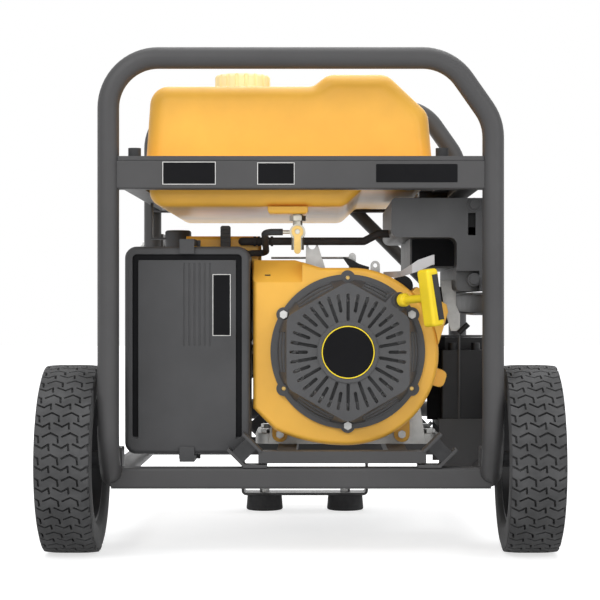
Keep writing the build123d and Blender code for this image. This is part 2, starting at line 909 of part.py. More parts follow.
def emblem():
    """Plain round centre plate let into the recoil cover."""
    return disc(crank_x, crank_z, emblem_r, recoil_y - 2, 2)


def recoil_bolts():
    """Three bolts of the recoil cover, in every second lug."""
    seats = [(x, blower_y - 6.0, z) for degrees, x, z in recoil_lugs()[::2]]
    return Compound([bolt(seat, (0, -1, 0), lug_bolt_d, 12) for seat in seats])


reel_y = recoil_y + moulding + 5.0


def recoil_reel():
    """Grooved reel that turns on the cover's post."""
    turned = disc(crank_x, crank_z, reel_r, reel_y, reel_thick, post_d / 2 + run_gap)
    groove = disc(crank_x, crank_z, reel_r + 1, reel_y + 3, reel_thick - 6, reel_r - 14)
    pawl_ring = disc(crank_x, crank_z, cup_r - 14, reel_y + reel_thick, 8, post_d / 2 + run_gap)
    for n in range(6):
        angle = 2 * math.pi * n / 6
        x = crank_x + reel_r * 0.5 * math.cos(angle)
        turned -= disc(x, crank_z + reel_r * 0.5 * math.sin(angle), 9, reel_y, reel_thick)
    return turned - groove + pawl_ring


def starter_rope():
    """Rope through the snout, from the cover's inside to the handle's stem."""
    return extrude(pull_plane(-20) * Circle(rope_d / 2), 20 + free_gap * 2)


def starter_handle():
    """T-shaped pull handle: bulb, stem and a flat-sided grip."""
    bulb = extrude(pull_plane(free_gap * 2) * Circle(stem_d * 0.82), 13)
    bulb = fillet(bulb.edges().filter_by(GeomType.CIRCLE), 4)
    stem = extrude(pull_plane(free_gap * 2 + 8) * Circle(stem_d / 2), stem_length - 8)
    grip_face = RectangleRounded(grip_bar_length, grip_bar_width, 5)
    bar = extrude(pull_plane(stem_length - grip_bar_d / 2) * grip_face, grip_bar_d)
    long_edges = bar.edges().filter_by(GeomType.LINE).sort_by(SortBy.LENGTH)[-4:]
    return bulb + stem + fillet(long_edges, 4)


def flywheel():
    """Flywheel with its fan blades on the front."""
    wheel = disc(crank_x, crank_z, flywheel_r, flywheel_y, flywheel_depth, shaft_d * 0.4)
    wheel -= disc(crank_x, crank_z, flywheel_r - 16, flywheel_y + 10, flywheel_depth, shaft_d * 0.9)
    for n in range(fan_blades):
        blade = Pos(flywheel_r * 0.76, 0) * Rot(0, 0, 28) * Rectangle(flywheel_r * 0.4, 3)
        turned = Pos(crank_x, crank_z) * Rot(0, 0, 360 * n / fan_blades) * blade
        wheel += slab(turned, flywheel_y - blade_height, blade_height)
    return wheel


def starter_cup():
    """Cup on the flywheel that the reel's pawls catch."""
    depth = flywheel_y - (reel_y + reel_thick + 3)
    cup = disc(crank_x, crank_z, cup_r, flywheel_y - depth, depth, cup_r - 3)
    return cup + disc(crank_x, crank_z, cup_r - 2, flywheel_y - 15, 3) + disc(
        crank_x, crank_z, cup_r - 2, flywheel_y - 15, 15, shaft_d * 0.4
    ) - disc(crank_x, crank_z, shaft_d * 0.4, flywheel_y - 12, 12)


# Alternator


def alternator_adapter():
    """Bell between the block and the stator, with cooling windows and a foot."""
    section = outline(
        [
            (block_r * 0.8, 0),
            (block_r * 0.9, 0),
            (stator_r, adapter_length - 8),
            (stator_r, adapter_length),
            (stator_r - 9, adapter_length),
            (stator_r - 9, adapter_length - 8),
        ],
        [0] * 6,
    )
    plane = Plane(origin=(crank_x, adapter_y, crank_z), x_dir=(1, 0, 0), z_dir=(0, 0, 1))
    bell = revolve(plane * section, axis=Axis((crank_x, adapter_y, crank_z), (0, 1, 0)))
    for n in range(8):
        window = Pos(stator_r * 0.93, 0) * Rectangle(24, 34)
        turned = Pos(crank_x, crank_z) * Rot(0, 0, 45 * n + 22.5) * window
        bell -= slab(turned, adapter_y + 12, adapter_length - 26)
    return bell


def alternator_stator():
    """Laminated stator with shallow ribs outside and winding slots inside."""
    ring = disc(crank_x, crank_z, stator_r, stator_y, stator_length, rotor_r + air_gap)
    cuts = None
    for n in range(24):
        slot = Pos(rotor_r + air_gap + 6, 0) * Rectangle(16, 6)
        groove = Pos(stator_r, 0) * Rectangle(6, 10)
        turned = Pos(crank_x, crank_z) * Rot(0, 0, 15 * n) * (slot + groove)
        cuts = turned if cuts is None else cuts + turned
    return ring - slab(cuts, stator_y, stator_length)


def alternator_rotor():
    """Two-pole rotor on the shaft, with a cooling fan in front of it."""
    core = disc(crank_x, crank_z, rotor_r, stator_y + 2, stator_length - 4, tail_shaft_d / 2)
    for side in (-1, 1):
        flat = Pos(crank_x + side * rotor_r, crank_z) * Rectangle(rotor_r * 0.6, rotor_r * 0.9)
        core -= slab(flat, stator_y + 2, stator_length - 4)
    return core


def end_cover():
    """Rear bearing cover with vent slots, a bearing boss and a foot on the cradle."""
    wall = moulding + 1
    length = end_cover_length
    cup = disc(crank_x, crank_z, stator_r, end_y, length)
    cup = fillet(cup.edges().group_by(Axis.Y)[-1], 14)
    cavity = disc(crank_x, crank_z, stator_r - wall, end_y, length - wall)
    cup -= fillet(cavity.edges().group_by(Axis.Y)[-1], 10)
    boss_depth = length * 0.5
    boss = disc(crank_x, crank_z, tail_shaft_d / 2 + 12, end_y + length - boss_depth, boss_depth)
    cup += boss
    cup -= disc(crank_x, crank_z, tail_shaft_d / 2 + run_gap, end_y, length * 0.6 + 1)
    cuts = None
    for n in range(vent_count):
        slot = Pos(stator_r * 0.62, 0) * SlotOverall(stator_r * 0.4, 9)
        turned = Pos(crank_x, crank_z) * Rot(0, 0, 360 * n / vent_count) * slot
        cuts = turned if cuts is None else cuts + turned
    cup -= slab(cuts, end_y + length - wall * 2, wall * 3)
    foot_zs = (cradle_top, crank_z - stator_r * 0.6)
    half = cradle_rail_span / 2 + cradle_bar / 2
    foot = block((cradle_x - half, cradle_x + half), (end_y + 12, end_y + 32), foot_zs)
    foot -= disc(crank_x, crank_z, stator_r - wall, end_y, length)
    return cup + foot


# Air cleaner


def air_outline(inset=0):
    """Rounded front view of the air cleaner box."""
    face = RectangleRounded(air_width - 2 * inset, air_height - 2 * inset, air_corner - inset * 0.6)
    return Pos(air_x, air_z) * face


def air_cover():
    """Moulded front cover: raised rim, a groove round three sides and straight ribs."""
    outer = slab(air_outline(), air_y, air_cover_depth)
    outer = fillet(outer.faces().sort_by(Axis.Y)[0].edges(), 6)
    cover = outer - slab(air_outline(moulding), air_y + moulding * 2, air_cover_depth)
    rim = 10.5
    left = air_x - air_width / 2 + rim
    right = air_x + air_width / 2 - rim
    top = air_z + air_height / 2 - rim
    low = air_z - air_height / 2 + rim * 2
    groove = Pos((left + right) / 2, (top + low) / 2) * RectangleRounded(right - left, top - low, 6)
    inner_width = right - left - 2 * air_groove
    groove -= Pos((left + right) / 2, (top + low) / 2 - air_groove) * RectangleRounded(
        inner_width, top - low, 4
    )
    cover -= slab(groove, air_y - 1, moulding + 1)
    for n in range(6):
        x = air_x - 4 + n * 7.0
        rib_top = top - air_groove - 4
        rib = Pos(x, rib_top - air_height * 0.2) * SlotOverall(air_height * 0.4, 2.4, rotation=90)
        cover -= slab(rib, air_y - 1, 2)
    return cover


def air_base():
    """Tub behind the cover, open to the front, with the carburettor's port at the back."""
    tub = slab(air_outline(), air_base_y, air_base_depth)
    tub -= slab(air_outline(moulding), air_base_y, air_base_depth - moulding)
    tub -= disc(carb_x, carb_z, carb_r, air_base_y, air_base_depth)
    for side in (-1, 1):
        tub += latch_ears(side)
    return tub


latch_pin_y = air_base_y + 16.0
latch_pin_d = 4.0
latch_rise = 6.0


def latch_z(side):
    """Height of a latch's pin, just outside the box's top or bottom wall."""
    return air_z + side * (air_height / 2 + latch_rise)


def latch_ears(side):
    """Two ears on the tub's wall that hold a latch's pin."""
    wall = air_z + side * air_height / 2
    tip = latch_z(side) + side * latch_pin_d
    ears = None
    for across in (-1, 1):
        inner = air_x + across * (latch_width / 2 + free_gap)
        ear = block((inner, inner + across * 4), (latch_pin_y - 6, latch_pin_y + 6), (wall, tip))
        ears = ear if ears is None else ears + ear
    pin = tube(
        [
            (air_x - latch_width / 2 - 4, latch_pin_y, latch_z(side)),
            (air_x + latch_width / 2 + 4, latch_pin_y, latch_z(side)),
        ],
        latch_pin_d,
    )
    return ears + pin


def air_latch(side):
    """Clip that turns on its pin and hooks over the front cover's rim."""
    outer = latch_z(side) + side * latch_pin_d
    inner = latch_z(side) - side * (latch_rise - free_gap)
    front = air_y - free_gap
    xs = (air_x - latch_width / 2, air_x + latch_width / 2)
    strap = block(xs, (front - 4, latch_pin_y), (inner + side * 2, outer))
    eye = tube([(xs[0], latch_pin_y, latch_z(side)), (xs[1], latch_pin_y, latch_z(side))], latch_pin_d * 2)
    hook = block(xs, (front - 4, front), (outer, air_z + side * (air_height / 2 - 10)))
    drill = tube(
        [(xs[0] - 1, latch_pin_y, latch_z(side)), (xs[1] + 1, latch_pin_y, latch_z(side))],
        latch_pin_d + 2 * run_gap,
    )
    return strap + eye + hook - drill


def air_filter():
    """Pleated filter block held in the tub."""
    inset = moulding + 6
    front = air_y + moulding * 4
    body = slab(air_outline(inset), front, air_back - moulding - 20 - front)
    cuts = None
    pleat = 10.0
    count = int((air_width - 2 * inset - 24) / pleat)
    for n in range(count):
        x = air_x + (n - (count - 1) / 2) * pleat
        cut = Pos(x, air_z) * Rectangle(4, air_height - 2 * inset - 24)
        cuts = cut if cuts is None else cuts + cut
    body -= slab(cuts, front, 26)
    sides = block(
        (air_x - air_width / 2 + moulding, air_x + air_width / 2 - moulding),
        (air_back - moulding - 20, air_back - moulding - 14),
        (air_z - air_height / 2 + 30, air_z + air_height / 2 - 30),
    )
    return body + sides


# Carburettor, fuel valve, hoses and linkage

carb_x = -118.0
carb_z = 345.0
carb_r = 22.0
carb_end = barrel_y - fin_size / 2


def carburettor():
    """Throat between the air box and the cylinder's inlet, with a float bowl below."""
    throat = disc(carb_x, carb_z, carb_r, air_back - moulding, carb_end - air_back + moulding)
    length = carb_end - air_back
    bowl_y = air_back + length / 2
    bowl_r = max(length * 0.42, 8)
    bowl = Pos(carb_x, bowl_y, carb_z - carb_r - 14) * Cylinder(bowl_r, 36)
    bowl = fillet(bowl.edges().group_by(Axis.Z)[0], 3)
    spindle = Pos(carb_x, air_back + 8, carb_z + carb_r + 4) * Cylinder(5, 16)
    return throat + bowl + spindle - disc(carb_x, carb_z, carb_r - 5, air_back - 10, 20)


choke_x = -107.0
choke_y = air_back + 8.0
choke_pivot_z = carb_z + carb_r + 24.0
choke_top = 446.0


def choke_bracket():
    """Small stay on the air box that carries the choke lever's pivot."""
    stay = block(
        (choke_x - 8, choke_x + 8), (air_back, air_back + 3), (choke_pivot_z - 24, choke_pivot_z + 10)
    )
    pin = disc(choke_x, choke_pivot_z, 3, air_back, 12)
    return stay + pin


def choke_lever():
    """Upright lever with a ribbed grip that looks over the air box."""
    arm = slab(
        Pos(choke_x, (choke_pivot_z + choke_top) / 2) * Rectangle(8, choke_top - choke_pivot_z),
        choke_y - 4,
        3,
    )
    boss = disc(choke_x, choke_pivot_z, 8, choke_y - 4, 3)
    grip = block((choke_x - 7, choke_x + 7), (choke_y - 7, choke_y + 2), (choke_top - 30, choke_top))
    grip = fillet(grip.edges().filter_by(Axis.Y), 3)
    for n in range(4):
        z = choke_top - 6 - n * 6
        grip -= block((choke_x - 8, choke_x + 8), (choke_y - 8, choke_y - 6), (z - 1.2, z + 1.2))
    return arm + boss + grip - disc(choke_x, choke_pivot_z, 3 + run_gap, choke_y - 10, 20)


valve_y = front_y + valve_setback
sump_z = tank_floor - 10.0
valve_z = sump_z - 24.0
nipple_d = 5.0


def fuel_valve():
    """Petcock under the tank's sump, with its hose nipple and settling bowl."""
    body = Pos(valve_x, valve_y, (sump_z + valve_z) / 2) * Cylinder(6.5, sump_z - valve_z)
    nut = Plane(origin=(valve_x, valve_y, sump_z - 9)) * RegularPolygon(11, 6)
    body += extrude(nut, 7)
    body += disc(valve_x, valve_z, 10.5, valve_y - 12, 24)
    body += Pos(valve_x, valve_y, valve_z - 14) * Cylinder(8.5, 20)
    body += tube([(valve_x, valve_y, valve_z), (valve_x - 30, valve_y, valve_z)], nipple_d)
    body += disc(valve_x, valve_z, 3.5, valve_y - 18, 8)
    return body


def fuel_valve_lever():
    """Flat lever on the petcock's face, pointing down when open."""
    front = valve_y - 16.5
    arm = Pos(valve_x, valve_z - 13) * SlotOverall(34, 9, rotation=90)
    lever = slab(Pos(valve_x, valve_z) * Circle(8) + arm, front - 4, 4)
    return lever - disc(valve_x, valve_z, 3.5 + run_gap, front - 10, 20)


passage_y = air_back + 8.5


def fuel_hose():
    """Hose from the petcock's nipple, over the blower and down to the carburettor."""
    start = valve_x - 20
    drop_x = carb_x + 38
    over_z = duct_top + hose_d * 1.2
    inlet_z = carb_z + 2
    points = [
        (start, valve_y, valve_z),
        (start - 25, valve_y, valve_z),
        (start - 25, passage_y, over_z),
        (drop_x, passage_y, over_z),
        (drop_x, passage_y, inlet_z),
        (carb_x + carb_r, passage_y, inlet_z),
    ]
    nipple = tube([(start + 1, valve_y, valve_z), (start - 10, valve_y, valve_z)], nipple_d)
    return tube(points, hose_d, 11) - nipple


def wiring_loom():
    """Conduit from the control panel across the engine, with a ribbed end sleeve."""
    wall_x = panel_face_x - panel_depth
    entry_z = panel_top - panel_shelf + 9
    sleeve_x = carb_x + 50
    points = [
        (wall_x + 6, passage_y, entry_z),
        (wall_x - 14, passage_y, entry_z),
        (wall_x - 34, passage_y, loom_z),
        (carb_x + 34, passage_y, loom_z),
        (carb_x + 34, block_y, loom_z),
    ]
    loom = tube(points, loom_d, 6) - slab(panel_outline(), panel_y, panel_length)
    for n in range(5):
        x = sleeve_x + n * 6
        loom += tube([(x, passage_y, loom_z), (x + 3.5, passage_y, loom_z)], loom_d + 3)
    return loom


shroud_left = -163.0
shroud_right = -62.0
shroud_top = 432.0
shroud_low = 300.0


def cylinder_shroud():
    """Folded cowl over the cylinder's top, cut for the carburettor and the exhaust pipe."""
    ys = (block_y, adapter_y - 4)
    xs = (shroud_left, shroud_right)
    cowl = block(xs, ys, (shroud_low, shroud_top))
    cowl = fillet(cowl.edges().filter_by(Axis.X).group_by(Axis.Z)[-1], 6)
    hollow = block(xs, (ys[0] + blower_wall, ys[1] - blower_wall), (shroud_low, shroud_top - blower_wall))
    cowl -= hollow
    corner = Polygon(
        (shroud_right, shroud_low), (shroud_right, crank_z + block_r), (shroud_right - 44, shroud_low), align=None
    )
    cowl -= slab(corner, block_y, block_length)
    cowl -= disc(carb_x, carb_z, carb_r + 2, ys[0] - 1, 10)
    cowl -= block((carb_x - carb_r, carb_x + carb_r), (ys[0] - 1, ys[0] + 10), (shroud_low, carb_z))
    return cowl - disc(port_x, port_z, exhaust_d / 2 + 2, ys[1] - 10, 20)


# Fuel tank


def tank_upper_outline():
    """Front view of the tank's upper shell with its raised right part and sloping shoulder."""
    corners = [
        (tank_left, seam_z),
        (tank_left + 7, tank_top),
        (hump_left, tank_top),
        (hump_left + 20, tank_top + hump_rise),
        (hump_right, tank_top + hump_rise),
        (tank_right - 6, tank_top - 36),
        (tank_right, seam_z),
    ]
    return outline(corners, [0, tank_edge + 4, 20, tank_edge + 4, tank_edge + 4, tank_edge + 4, 0])


def tank_lower_outline():
    """Front view of the tank's lower shell: deep at the left, a shallow shelf at the right."""
    soft = tank_edge - 2
    corners = [
        (tank_left + 4, seam_z),
        (tank_left + 6, tank_floor),
        (shelf_x - 24, tank_floor),
        (shelf_x, shelf_z),
        (tank_right - 4, shelf_z),
        (tank_right - 4, seam_z),
    ]
    return outline(corners, [0, soft, soft, 8, soft, 0])


def seam_outline():
    """Plan view of the welded seam flange."""
    width = tank_right - tank_left + 2 * seam_flange
    length = frame_length
    return Pos((tank_left + tank_right) / 2, mid_y) * RectangleRounded(width, length, seam_flange)


def tank_shell(face, edge_r, rounded_up):
    """Hollow half of the tank, its ends rounded, open at the seam."""
    outer = slab(face, tank_y, tank_length)
    hollow = slab(offset(face, -tank_wall), tank_y + tank_wall, tank_length - 2 * tank_wall)
    shells = []
    for solid, radius in ((outer, edge_r), (hollow, edge_r - tank_wall)):
        ends = solid.faces().sort_by(Axis.Y)
        rims = ends[0].edges() + ends[-1].edges()
        order = rims.group_by(Axis.Z)
        rims = [e for e in rims if e not in (order[0] if rounded_up else order[-1])]
        shells.append(fillet(rims, radius))
    mouth = shells[1].faces().sort_by(Axis.Z)[0 if rounded_up else -1]
    throat = extrude(mouth, tank_wall * 2 if rounded_up else tank_wall * 2)
    return shells[0] - shells[1] - throat


def tank_upper():
    """Upper shell with the seam flange and the filler neck."""
    shell = tank_shell(tank_upper_outline(), tank_edge, True)
    flange = extrude(Plane.XY.offset(seam_z) * seam_outline(), tank_wall)
    flange -= extrude(Plane.XY.offset(seam_z) * seam_hole(), tank_wall)
    shell += flange
    neck = Pos(cap_x, cap_y, tank_top) * Cylinder(neck_d / 2, 28)
    shell += neck
    return shell - Pos(cap_x, cap_y, tank_top) * Cylinder(neck_d / 2 - tank_wall, 60) - seam_drills()


def seam_hole():
    """Plan view of the opening between the two shells."""
    inset = 2 * tank_wall + 6
    width = tank_right - tank_left - 2 * inset
    return Pos((tank_left + tank_right) / 2, mid_y) * RectangleRounded(
        width, tank_length - 2 * inset, tank_edge
    )


def seam_drills():
    """Bolt holes through the seam flange."""
    drills = [Pos(x, y, seam_z) * Cylinder(bolt_d / 2, channel_height) for x, y in tank_bolt_places()]
    return Compound(drills)


def tank_lower():
    """Lower shell with its flange and the small sump that feeds the petcock."""
    shell = tank_shell(tank_lower_outline(), tank_edge - 6, False)
    flange = extrude(Plane.XY.offset(seam_z - tank_wall) * seam_outline(), tank_wall)
    flange -= extrude(Plane.XY.offset(seam_z - tank_wall) * seam_hole(), tank_wall)
    sump = block((valve_x - 40, valve_x + 14), (valve_y - 18, valve_y + 40), (sump_z, tank_floor))
    sump = fillet(sump.edges().group_by(Axis.Z)[0], 5)
    return shell + flange + sump - seam_drills()


def tank_bolts():
    """Bolts with washers through the seam flange into the channels."""
    bolts = []
    for x, y in tank_bolt_places():
        seat = seam_z + tank_wall
        washer = Pos(x, y, seat + 1) * Cylinder(bolt_d, 2)
        bolts.append(washer + bolt((x, y, seat + 2), (0, 0, 1), bolt_d, channel_height / 2))
    return Compound(bolts)


def fuel_cap():
    """Ribbed cap that covers the filler neck."""
    base = tank_top + free_gap
    cap = Pos(cap_x, cap_y, base + cap_height / 2) * Cylinder(cap_d / 2, cap_height)
    cap = fillet(cap.edges().group_by(Axis.Z)[-1], 5)
    cap -= Pos(cap_x, cap_y, base) * Cylinder(neck_d / 2 + free_gap, 36)
    cuts = None
    for n in range(18):
        angle = 2 * math.pi * n / 18
        place = (cap_x + cap_d / 2 * math.cos(angle), cap_y + cap_d / 2 * math.sin(angle), base)
        cut = Pos(*place) * Cylinder(3, cap_height * 3)
        cuts = cut if cuts is None else cuts + cut
    return cap - cuts


# Control panel


def panel_outline(inset=0):
    """End view of the panel housing: a deep box above a shallow leg."""
    face_x = panel_face_x
    corners = [
        (face_x, panel_top - inset),
        (face_x - panel_depth + inset, panel_top - inset),
        (face_x - panel_depth + inset, panel_top - panel_shelf + inset),
        (face_x - panel_leg + inset, panel_top - panel_shelf + inset),
        (face_x - panel_leg + inset, panel_bottom + inset),
        (face_x, panel_bottom + inset),
    ]
    return outline(corners, [0, 6, panel_round, panel_round, 6, 0])


def panel_step(inset=0):
    """Set-back box that fills the corner between the housing's shelf and its leg."""
    xs = (panel_face_x - panel_box + inset, panel_face_x - panel_leg / 2)
    ys = (panel_y + panel_pocket + inset, panel_y + panel_length - inset)
    zs = (panel_top - panel_box_drop + inset, panel_top - panel_shelf / 2)
    return block(xs, ys, zs)


def panel_notch(wall=0):
    """Recess at the foot of the housing's front end, behind its lower boss."""
    xs = (panel_face_x - panel_leg - 1, panel_face_x - notch_edge + wall)
    return block(xs, (panel_y - 1, panel_y + notch_depth + wall), (panel_bottom - 1, notch_top + wall))


def panel_bosses():
    """Centres (X, Z) of the two screw bosses on the housing's front end."""
    x = panel_face_x - 13
    return [(x, panel_top - 9), (x, panel_bottom + 15)]


def panel_housing():
    """Moulded housing, open to the right under the panel's face plate, with a slot and bosses in front."""
    body = slab(panel_outline(), panel_y, panel_length) + panel_step()
    hollow = slab(panel_outline(moulding), panel_y + moulding, panel_length - 2 * moulding)
    hollow += panel_step(moulding)
    body -= hollow - panel_notch(moulding)
    body -= panel_notch()
    for x, z in panel_bosses():
        body += disc(x, z, panel_boss_d / 2, panel_y - moulding, moulding + notch_depth)
        body -= disc(x, z, lug_bolt_d / 2, panel_y - moulding, moulding * 4)
    slot_x = panel_face_x - 16
    slot_z = panel_top - 35
    slot = block((slot_x - 5, slot_x + 5), (panel_y - 1, panel_y + moulding + 1), (slot_z - 15, slot_z + 15))
    return body - slot


outlet_inset = 46.0
outlet_drop = 18.0
duplex_start = 118.0
duplex_pitch = 50.0
duplex_drop = 14.0
breaker_rise = 42.0
switch_start = 224.0
button_start = 262.0
switch_drop = 20.0
toggle_rise = 34.0
meter_rise = 36.0


def panel_items():
    """Centres (Y, Z) of what the panel's face carries."""
    mid = (panel_top + panel_bottom) / 2
    pair = [panel_y + duplex_start, panel_y + duplex_start + duplex_pitch]
    ends = [panel_y + outlet_inset, panel_y + panel_length - outlet_inset]
    return {
        "round": [(y, mid - outlet_drop) for y in ends],
        "duplex": [(y, mid - duplex_drop) for y in pair],
        "breakers": [(y, mid + breaker_rise) for y in pair],
        "rocker": [(panel_y + switch_start, mid - switch_drop)],
        "button": [(panel_y + button_start, mid - switch_drop)],
        "toggle": [(panel_y + switch_start, mid + toggle_rise)],
        "meter": [(ends[0], mid + meter_rise)],
        "stud": [(panel_y + button_start, mid + meter_rise)],
    }


rocker_width = 20.0
rocker_height = 32.0
button_d = 20.0
toggle_width = 18.0
toggle_height = 34.0
meter_width = 46.0
meter_height = 24.0
face_plate = 4.0


def face_cut(item, grow=0):
    """Sketch of one panel item's outline, grown by a clearance."""
    shapes = {
        "round": lambda: Circle(outlet_d / 2 + grow),
        "duplex": lambda: RectangleRounded(duplex_width + 2 * grow, duplex_height + 2 * grow, 6),
        "breakers": lambda: Circle(breaker_d / 2 + grow),
        "rocker": lambda: Rectangle(rocker_width + 2 * grow, rocker_height + 2 * grow),
        "button": lambda: Circle(button_d / 2 + grow),
        "toggle": lambda: Rectangle(toggle_width + 2 * grow, toggle_height + 2 * grow),
        "meter": lambda: Rectangle(meter_width + 2 * grow, meter_height + 2 * grow),
        "stud": lambda: Circle(4 + grow),
    }
    return shapes[item]()


def panel_face():
    """Flat plate over the housing, cut for each outlet, switch and breaker."""
    plane = side_plane(panel_face_x)
    mid_z = (panel_top + panel_bottom) / 2
    face = Pos(panel_y + panel_length / 2, mid_z) * RectangleRounded(
        panel_length, panel_top - panel_bottom, 8
    )
    moving = ("rocker", "button", "toggle", "breakers")
    for item, places in panel_items().items():
        for y, z in places:
            face -= Pos(y, z) * face_cut(item, free_gap if item in moving else 0)
    return extrude(plane * face, face_plate)


def outlet(y, z, item):
    """Outlet body let into the face, its contact slots cut in."""
    plane = side_plane(panel_face_x - 22)
    body = extrude(plane * Pos(y, z) * face_cut(item), 22 + face_plate + 3)
    if item == "round":
        for n in range(3):
            slot = Rot(0, 0, 120 * n + 90) * Pos(outlet_d * 0.27, 0) * Rectangle(4.2, 12)
            body -= extrude(plane * Pos(y, z) * slot, 40) - block(
                (0, panel_face_x - 10), (y - 60, y + 60), (z - 60, z + 60)
            )
    else:
        for rise in (-duplex_height / 4, duplex_height / 4):
            slots = Pos(-6, 4) * Rectangle(2.4, 8) + Pos(6, 4) * Rectangle(2.4, 9) + Pos(0, -7) * Circle(2.6)
            body -= extrude(plane * Pos(y, z + rise) * slots, 40) - block(
                (0, panel_face_x - 10), (y - 60, y + 60), (z - 60, z + 60)
            )
    return body


def outlets():
    """All outlets of the panel."""
    items = panel_items()
    return Compound([outlet(y, z, item) for item in ("round", "duplex") for y, z in items[item]])


rocker_pin_d = 3.6
rocker_pin_depth = 3.0
rocker_tilt_rise = 3.0


def rocker():
    """Engine switch: a rocker on a cross pin."""
    y, z = panel_items()["rocker"][0]
    face = panel_face_x + face_plate
    half = rocker_height / 2 - rocker_tilt_rise / 2
    profile = outline(
        [
            (face + 1.5, z - half),
            (face + 1.5 + rocker_tilt_rise, z + half),
            (face - 12, z + half - 5),
            (face - 12, z - half + 5),
        ],
        [1, 1, 3, 3],
    )
    profile -= Pos(panel_face_x - rocker_pin_depth, z) * Circle(rocker_pin_d / 2 + run_gap)
    return slab(profile, y - rocker_width / 2, rocker_width)


def rocker_pin():
    """Cross pin of the rocker, let into both sides of its case."""
    y, z = panel_items()["rocker"][0]
    reach = rocker_width / 2 + 3
    return disc(panel_face_x - rocker_pin_depth, z, rocker_pin_d / 2, y - reach, reach * 2)


def switch_body(item, depth):
    """Closed case behind a switch, fixed to the back of the face plate."""
    y, z = panel_items()[item][0]
    size = {"rocker": (rocker_width, rocker_height), "toggle": (toggle_width, toggle_height)}[item]
    ys = (y - size[0] / 2 - 4, y + size[0] / 2 + 4)
    zs = (z - size[1] / 2 - 4, z + size[1] / 2 + 4)
    case = block((panel_face_x - depth, panel_face_x), ys, zs)
    hollow = block(
        (panel_face_x - depth + 3, panel_face_x), (ys[0] + 3, ys[1] - 3), (zs[0] + 3, zs[1] - 3)
    )
    return case - hollow


def switch_cases():
    """Cases of the rocker and of the main breaker."""
    return Compound([switch_body("rocker", 26) + rocker_pin(), switch_body("toggle", 30)])


def start_button():
    """Round push button for the electric start."""
    y, z = panel_items()["button"][0]
    body = extrude(side_plane(panel_face_x - 14) * Pos(y, z) * Circle(button_d / 2), 14 + face_plate + 6)
    return fillet(body.edges().group_by(Axis.X)[-1], 2)


def main_breaker():
    """Toggle of the main breaker."""
    y, z = panel_items()["toggle"][0]
    face = panel_face_x + face_plate
    root = slab(Pos(face - 10, z) * Circle(8), y - toggle_width / 2, toggle_width)
    arm = Rot(0, 0, 18) * Pos(13, 0) * RectangleRounded(26, 8, 3)
    return root + slab(Pos(face - 10, z) * arm, y - toggle_width / 2 + 3, toggle_width - 6)


def breaker_button(n):
    """Push-to-reset breaker button."""
    y, z = panel_items()["breakers"][n]
    body = extrude(side_plane(panel_face_x - 12) * Pos(y, z) * Circle(breaker_d / 2), 12 + face_plate + 7)
    return fillet(body.edges().group_by(Axis.X)[-1], 1.5)


def meter():
    """Hour meter with a raised bezel."""
    y, z = panel_items()["meter"][0]
    plane = side_plane(panel_face_x - 20)
    body = extrude(plane * Pos(y, z) * face_cut("meter"), 20 + face_plate)
    bezel = extrude(
        side_plane(panel_face_x + face_plate) * Pos(y, z)
        * (RectangleRounded(meter_width + 8, meter_height + 8, 4) - Rectangle(meter_width - 6, meter_height - 6)),
        3,
    )
    return body + bezel


def ground_stud():
    """Earth terminal: a stud with its nut."""
    y, z = panel_items()["stud"][0]
    stud = extrude(side_plane(panel_face_x - 10) * Pos(y, z) * Circle(4), 10 + face_plate + 14)
    nut = extrude(side_plane(panel_face_x + face_plate) * Pos(y, z) * RegularPolygon(8, 6), 6)
    return stud + nut


# Battery, starter motor and muffler


def battery():
    """Sealed battery with a stepped top and two terminals."""
    xs = (battery_x - battery_width / 2, battery_x + battery_width / 2)
    ys = (battery_y, battery_y + battery_length)
    step = battery_height * 0.86
    body = block(xs, ys, (tray_z, tray_z + step))
    body += block((xs[0] + 4, xs[1] - 4), (ys[0] + 34, ys[1] - 4), (tray_z + step, tray_z + battery_height))
    body = fillet(body.edges().filter_by(Axis.Z), 3)
    for across in (-1, 1):
        post = Pos(battery_x + across * battery_width / 4, ys[0] + 17, tray_z + step + 5)
        body += post * Cylinder(6, 10)
    return body


def battery_tray():
    """Folded tray beside the base rail, with turned-up lips round the battery."""
    xs = (battery_x - battery_width / 2 - sheet - 1, half_w + tube_d / 2)
    ys = (battery_y - sheet - 1, battery_y + battery_length + sheet + 1)
    floor = block(xs, ys, (tray_z - sheet, tray_z))
    for y in (ys[0], ys[1] - sheet):
        floor += block(xs, (y, y + sheet), (rail_z, tray_z + 10))
    floor += block((xs[0], xs[0] + sheet), ys, (tray_z - sheet, tray_z + 10))
    return cope(floor)


def battery_strap():
    """Hold-down bar over the battery with two long hook rods to the tray."""
    over = tray_z + battery_height
    x_pair = (battery_x - battery_width / 2 - 4, battery_x + battery_width / 2 + 4)
    y = battery_y + battery_length * 0.55
    strap = block((x_pair[0] - 5, x_pair[1] + 5), (y - 10, y + 10), (over, over + sheet))
    for x in x_pair:
        strap += tube([(x, y, tray_z + 10), (x, y, over + 12)], 5)
    return strap


starter_x = 186.0
starter_z = 332.0
starter_r = 25.0
starter_length = 118.0
starter_y = block_y + 8.0


def starter_motor():
    """Electric starter on the block's right side, with its solenoid on top."""
    case = disc(starter_x, starter_z, starter_r, starter_y, starter_length)
    case = fillet(case.edges().group_by(Axis.Y)[-1], 6)
    flange = Pos(starter_x, starter_z) * Circle(starter_r + 5)
    arm = make_hull(
        (Pos(starter_x, starter_z) * Circle(starter_r)).edges() + (Pos(crank_x + 60, crank_z + 20) * Circle(24)).edges()
    )
    case += slab(flange + arm, starter_y, 12)
    solenoid = disc(starter_x - 44, starter_z + 30, 15, starter_y + 12, 70)
    stay = slab(Pos(starter_x - 22, starter_z + 15) * Rot(0, 0, -34) * Rectangle(60, 12), starter_y + 20, 8)
    return case + solenoid + stay - slab(block_outline(), block_y, block_length)


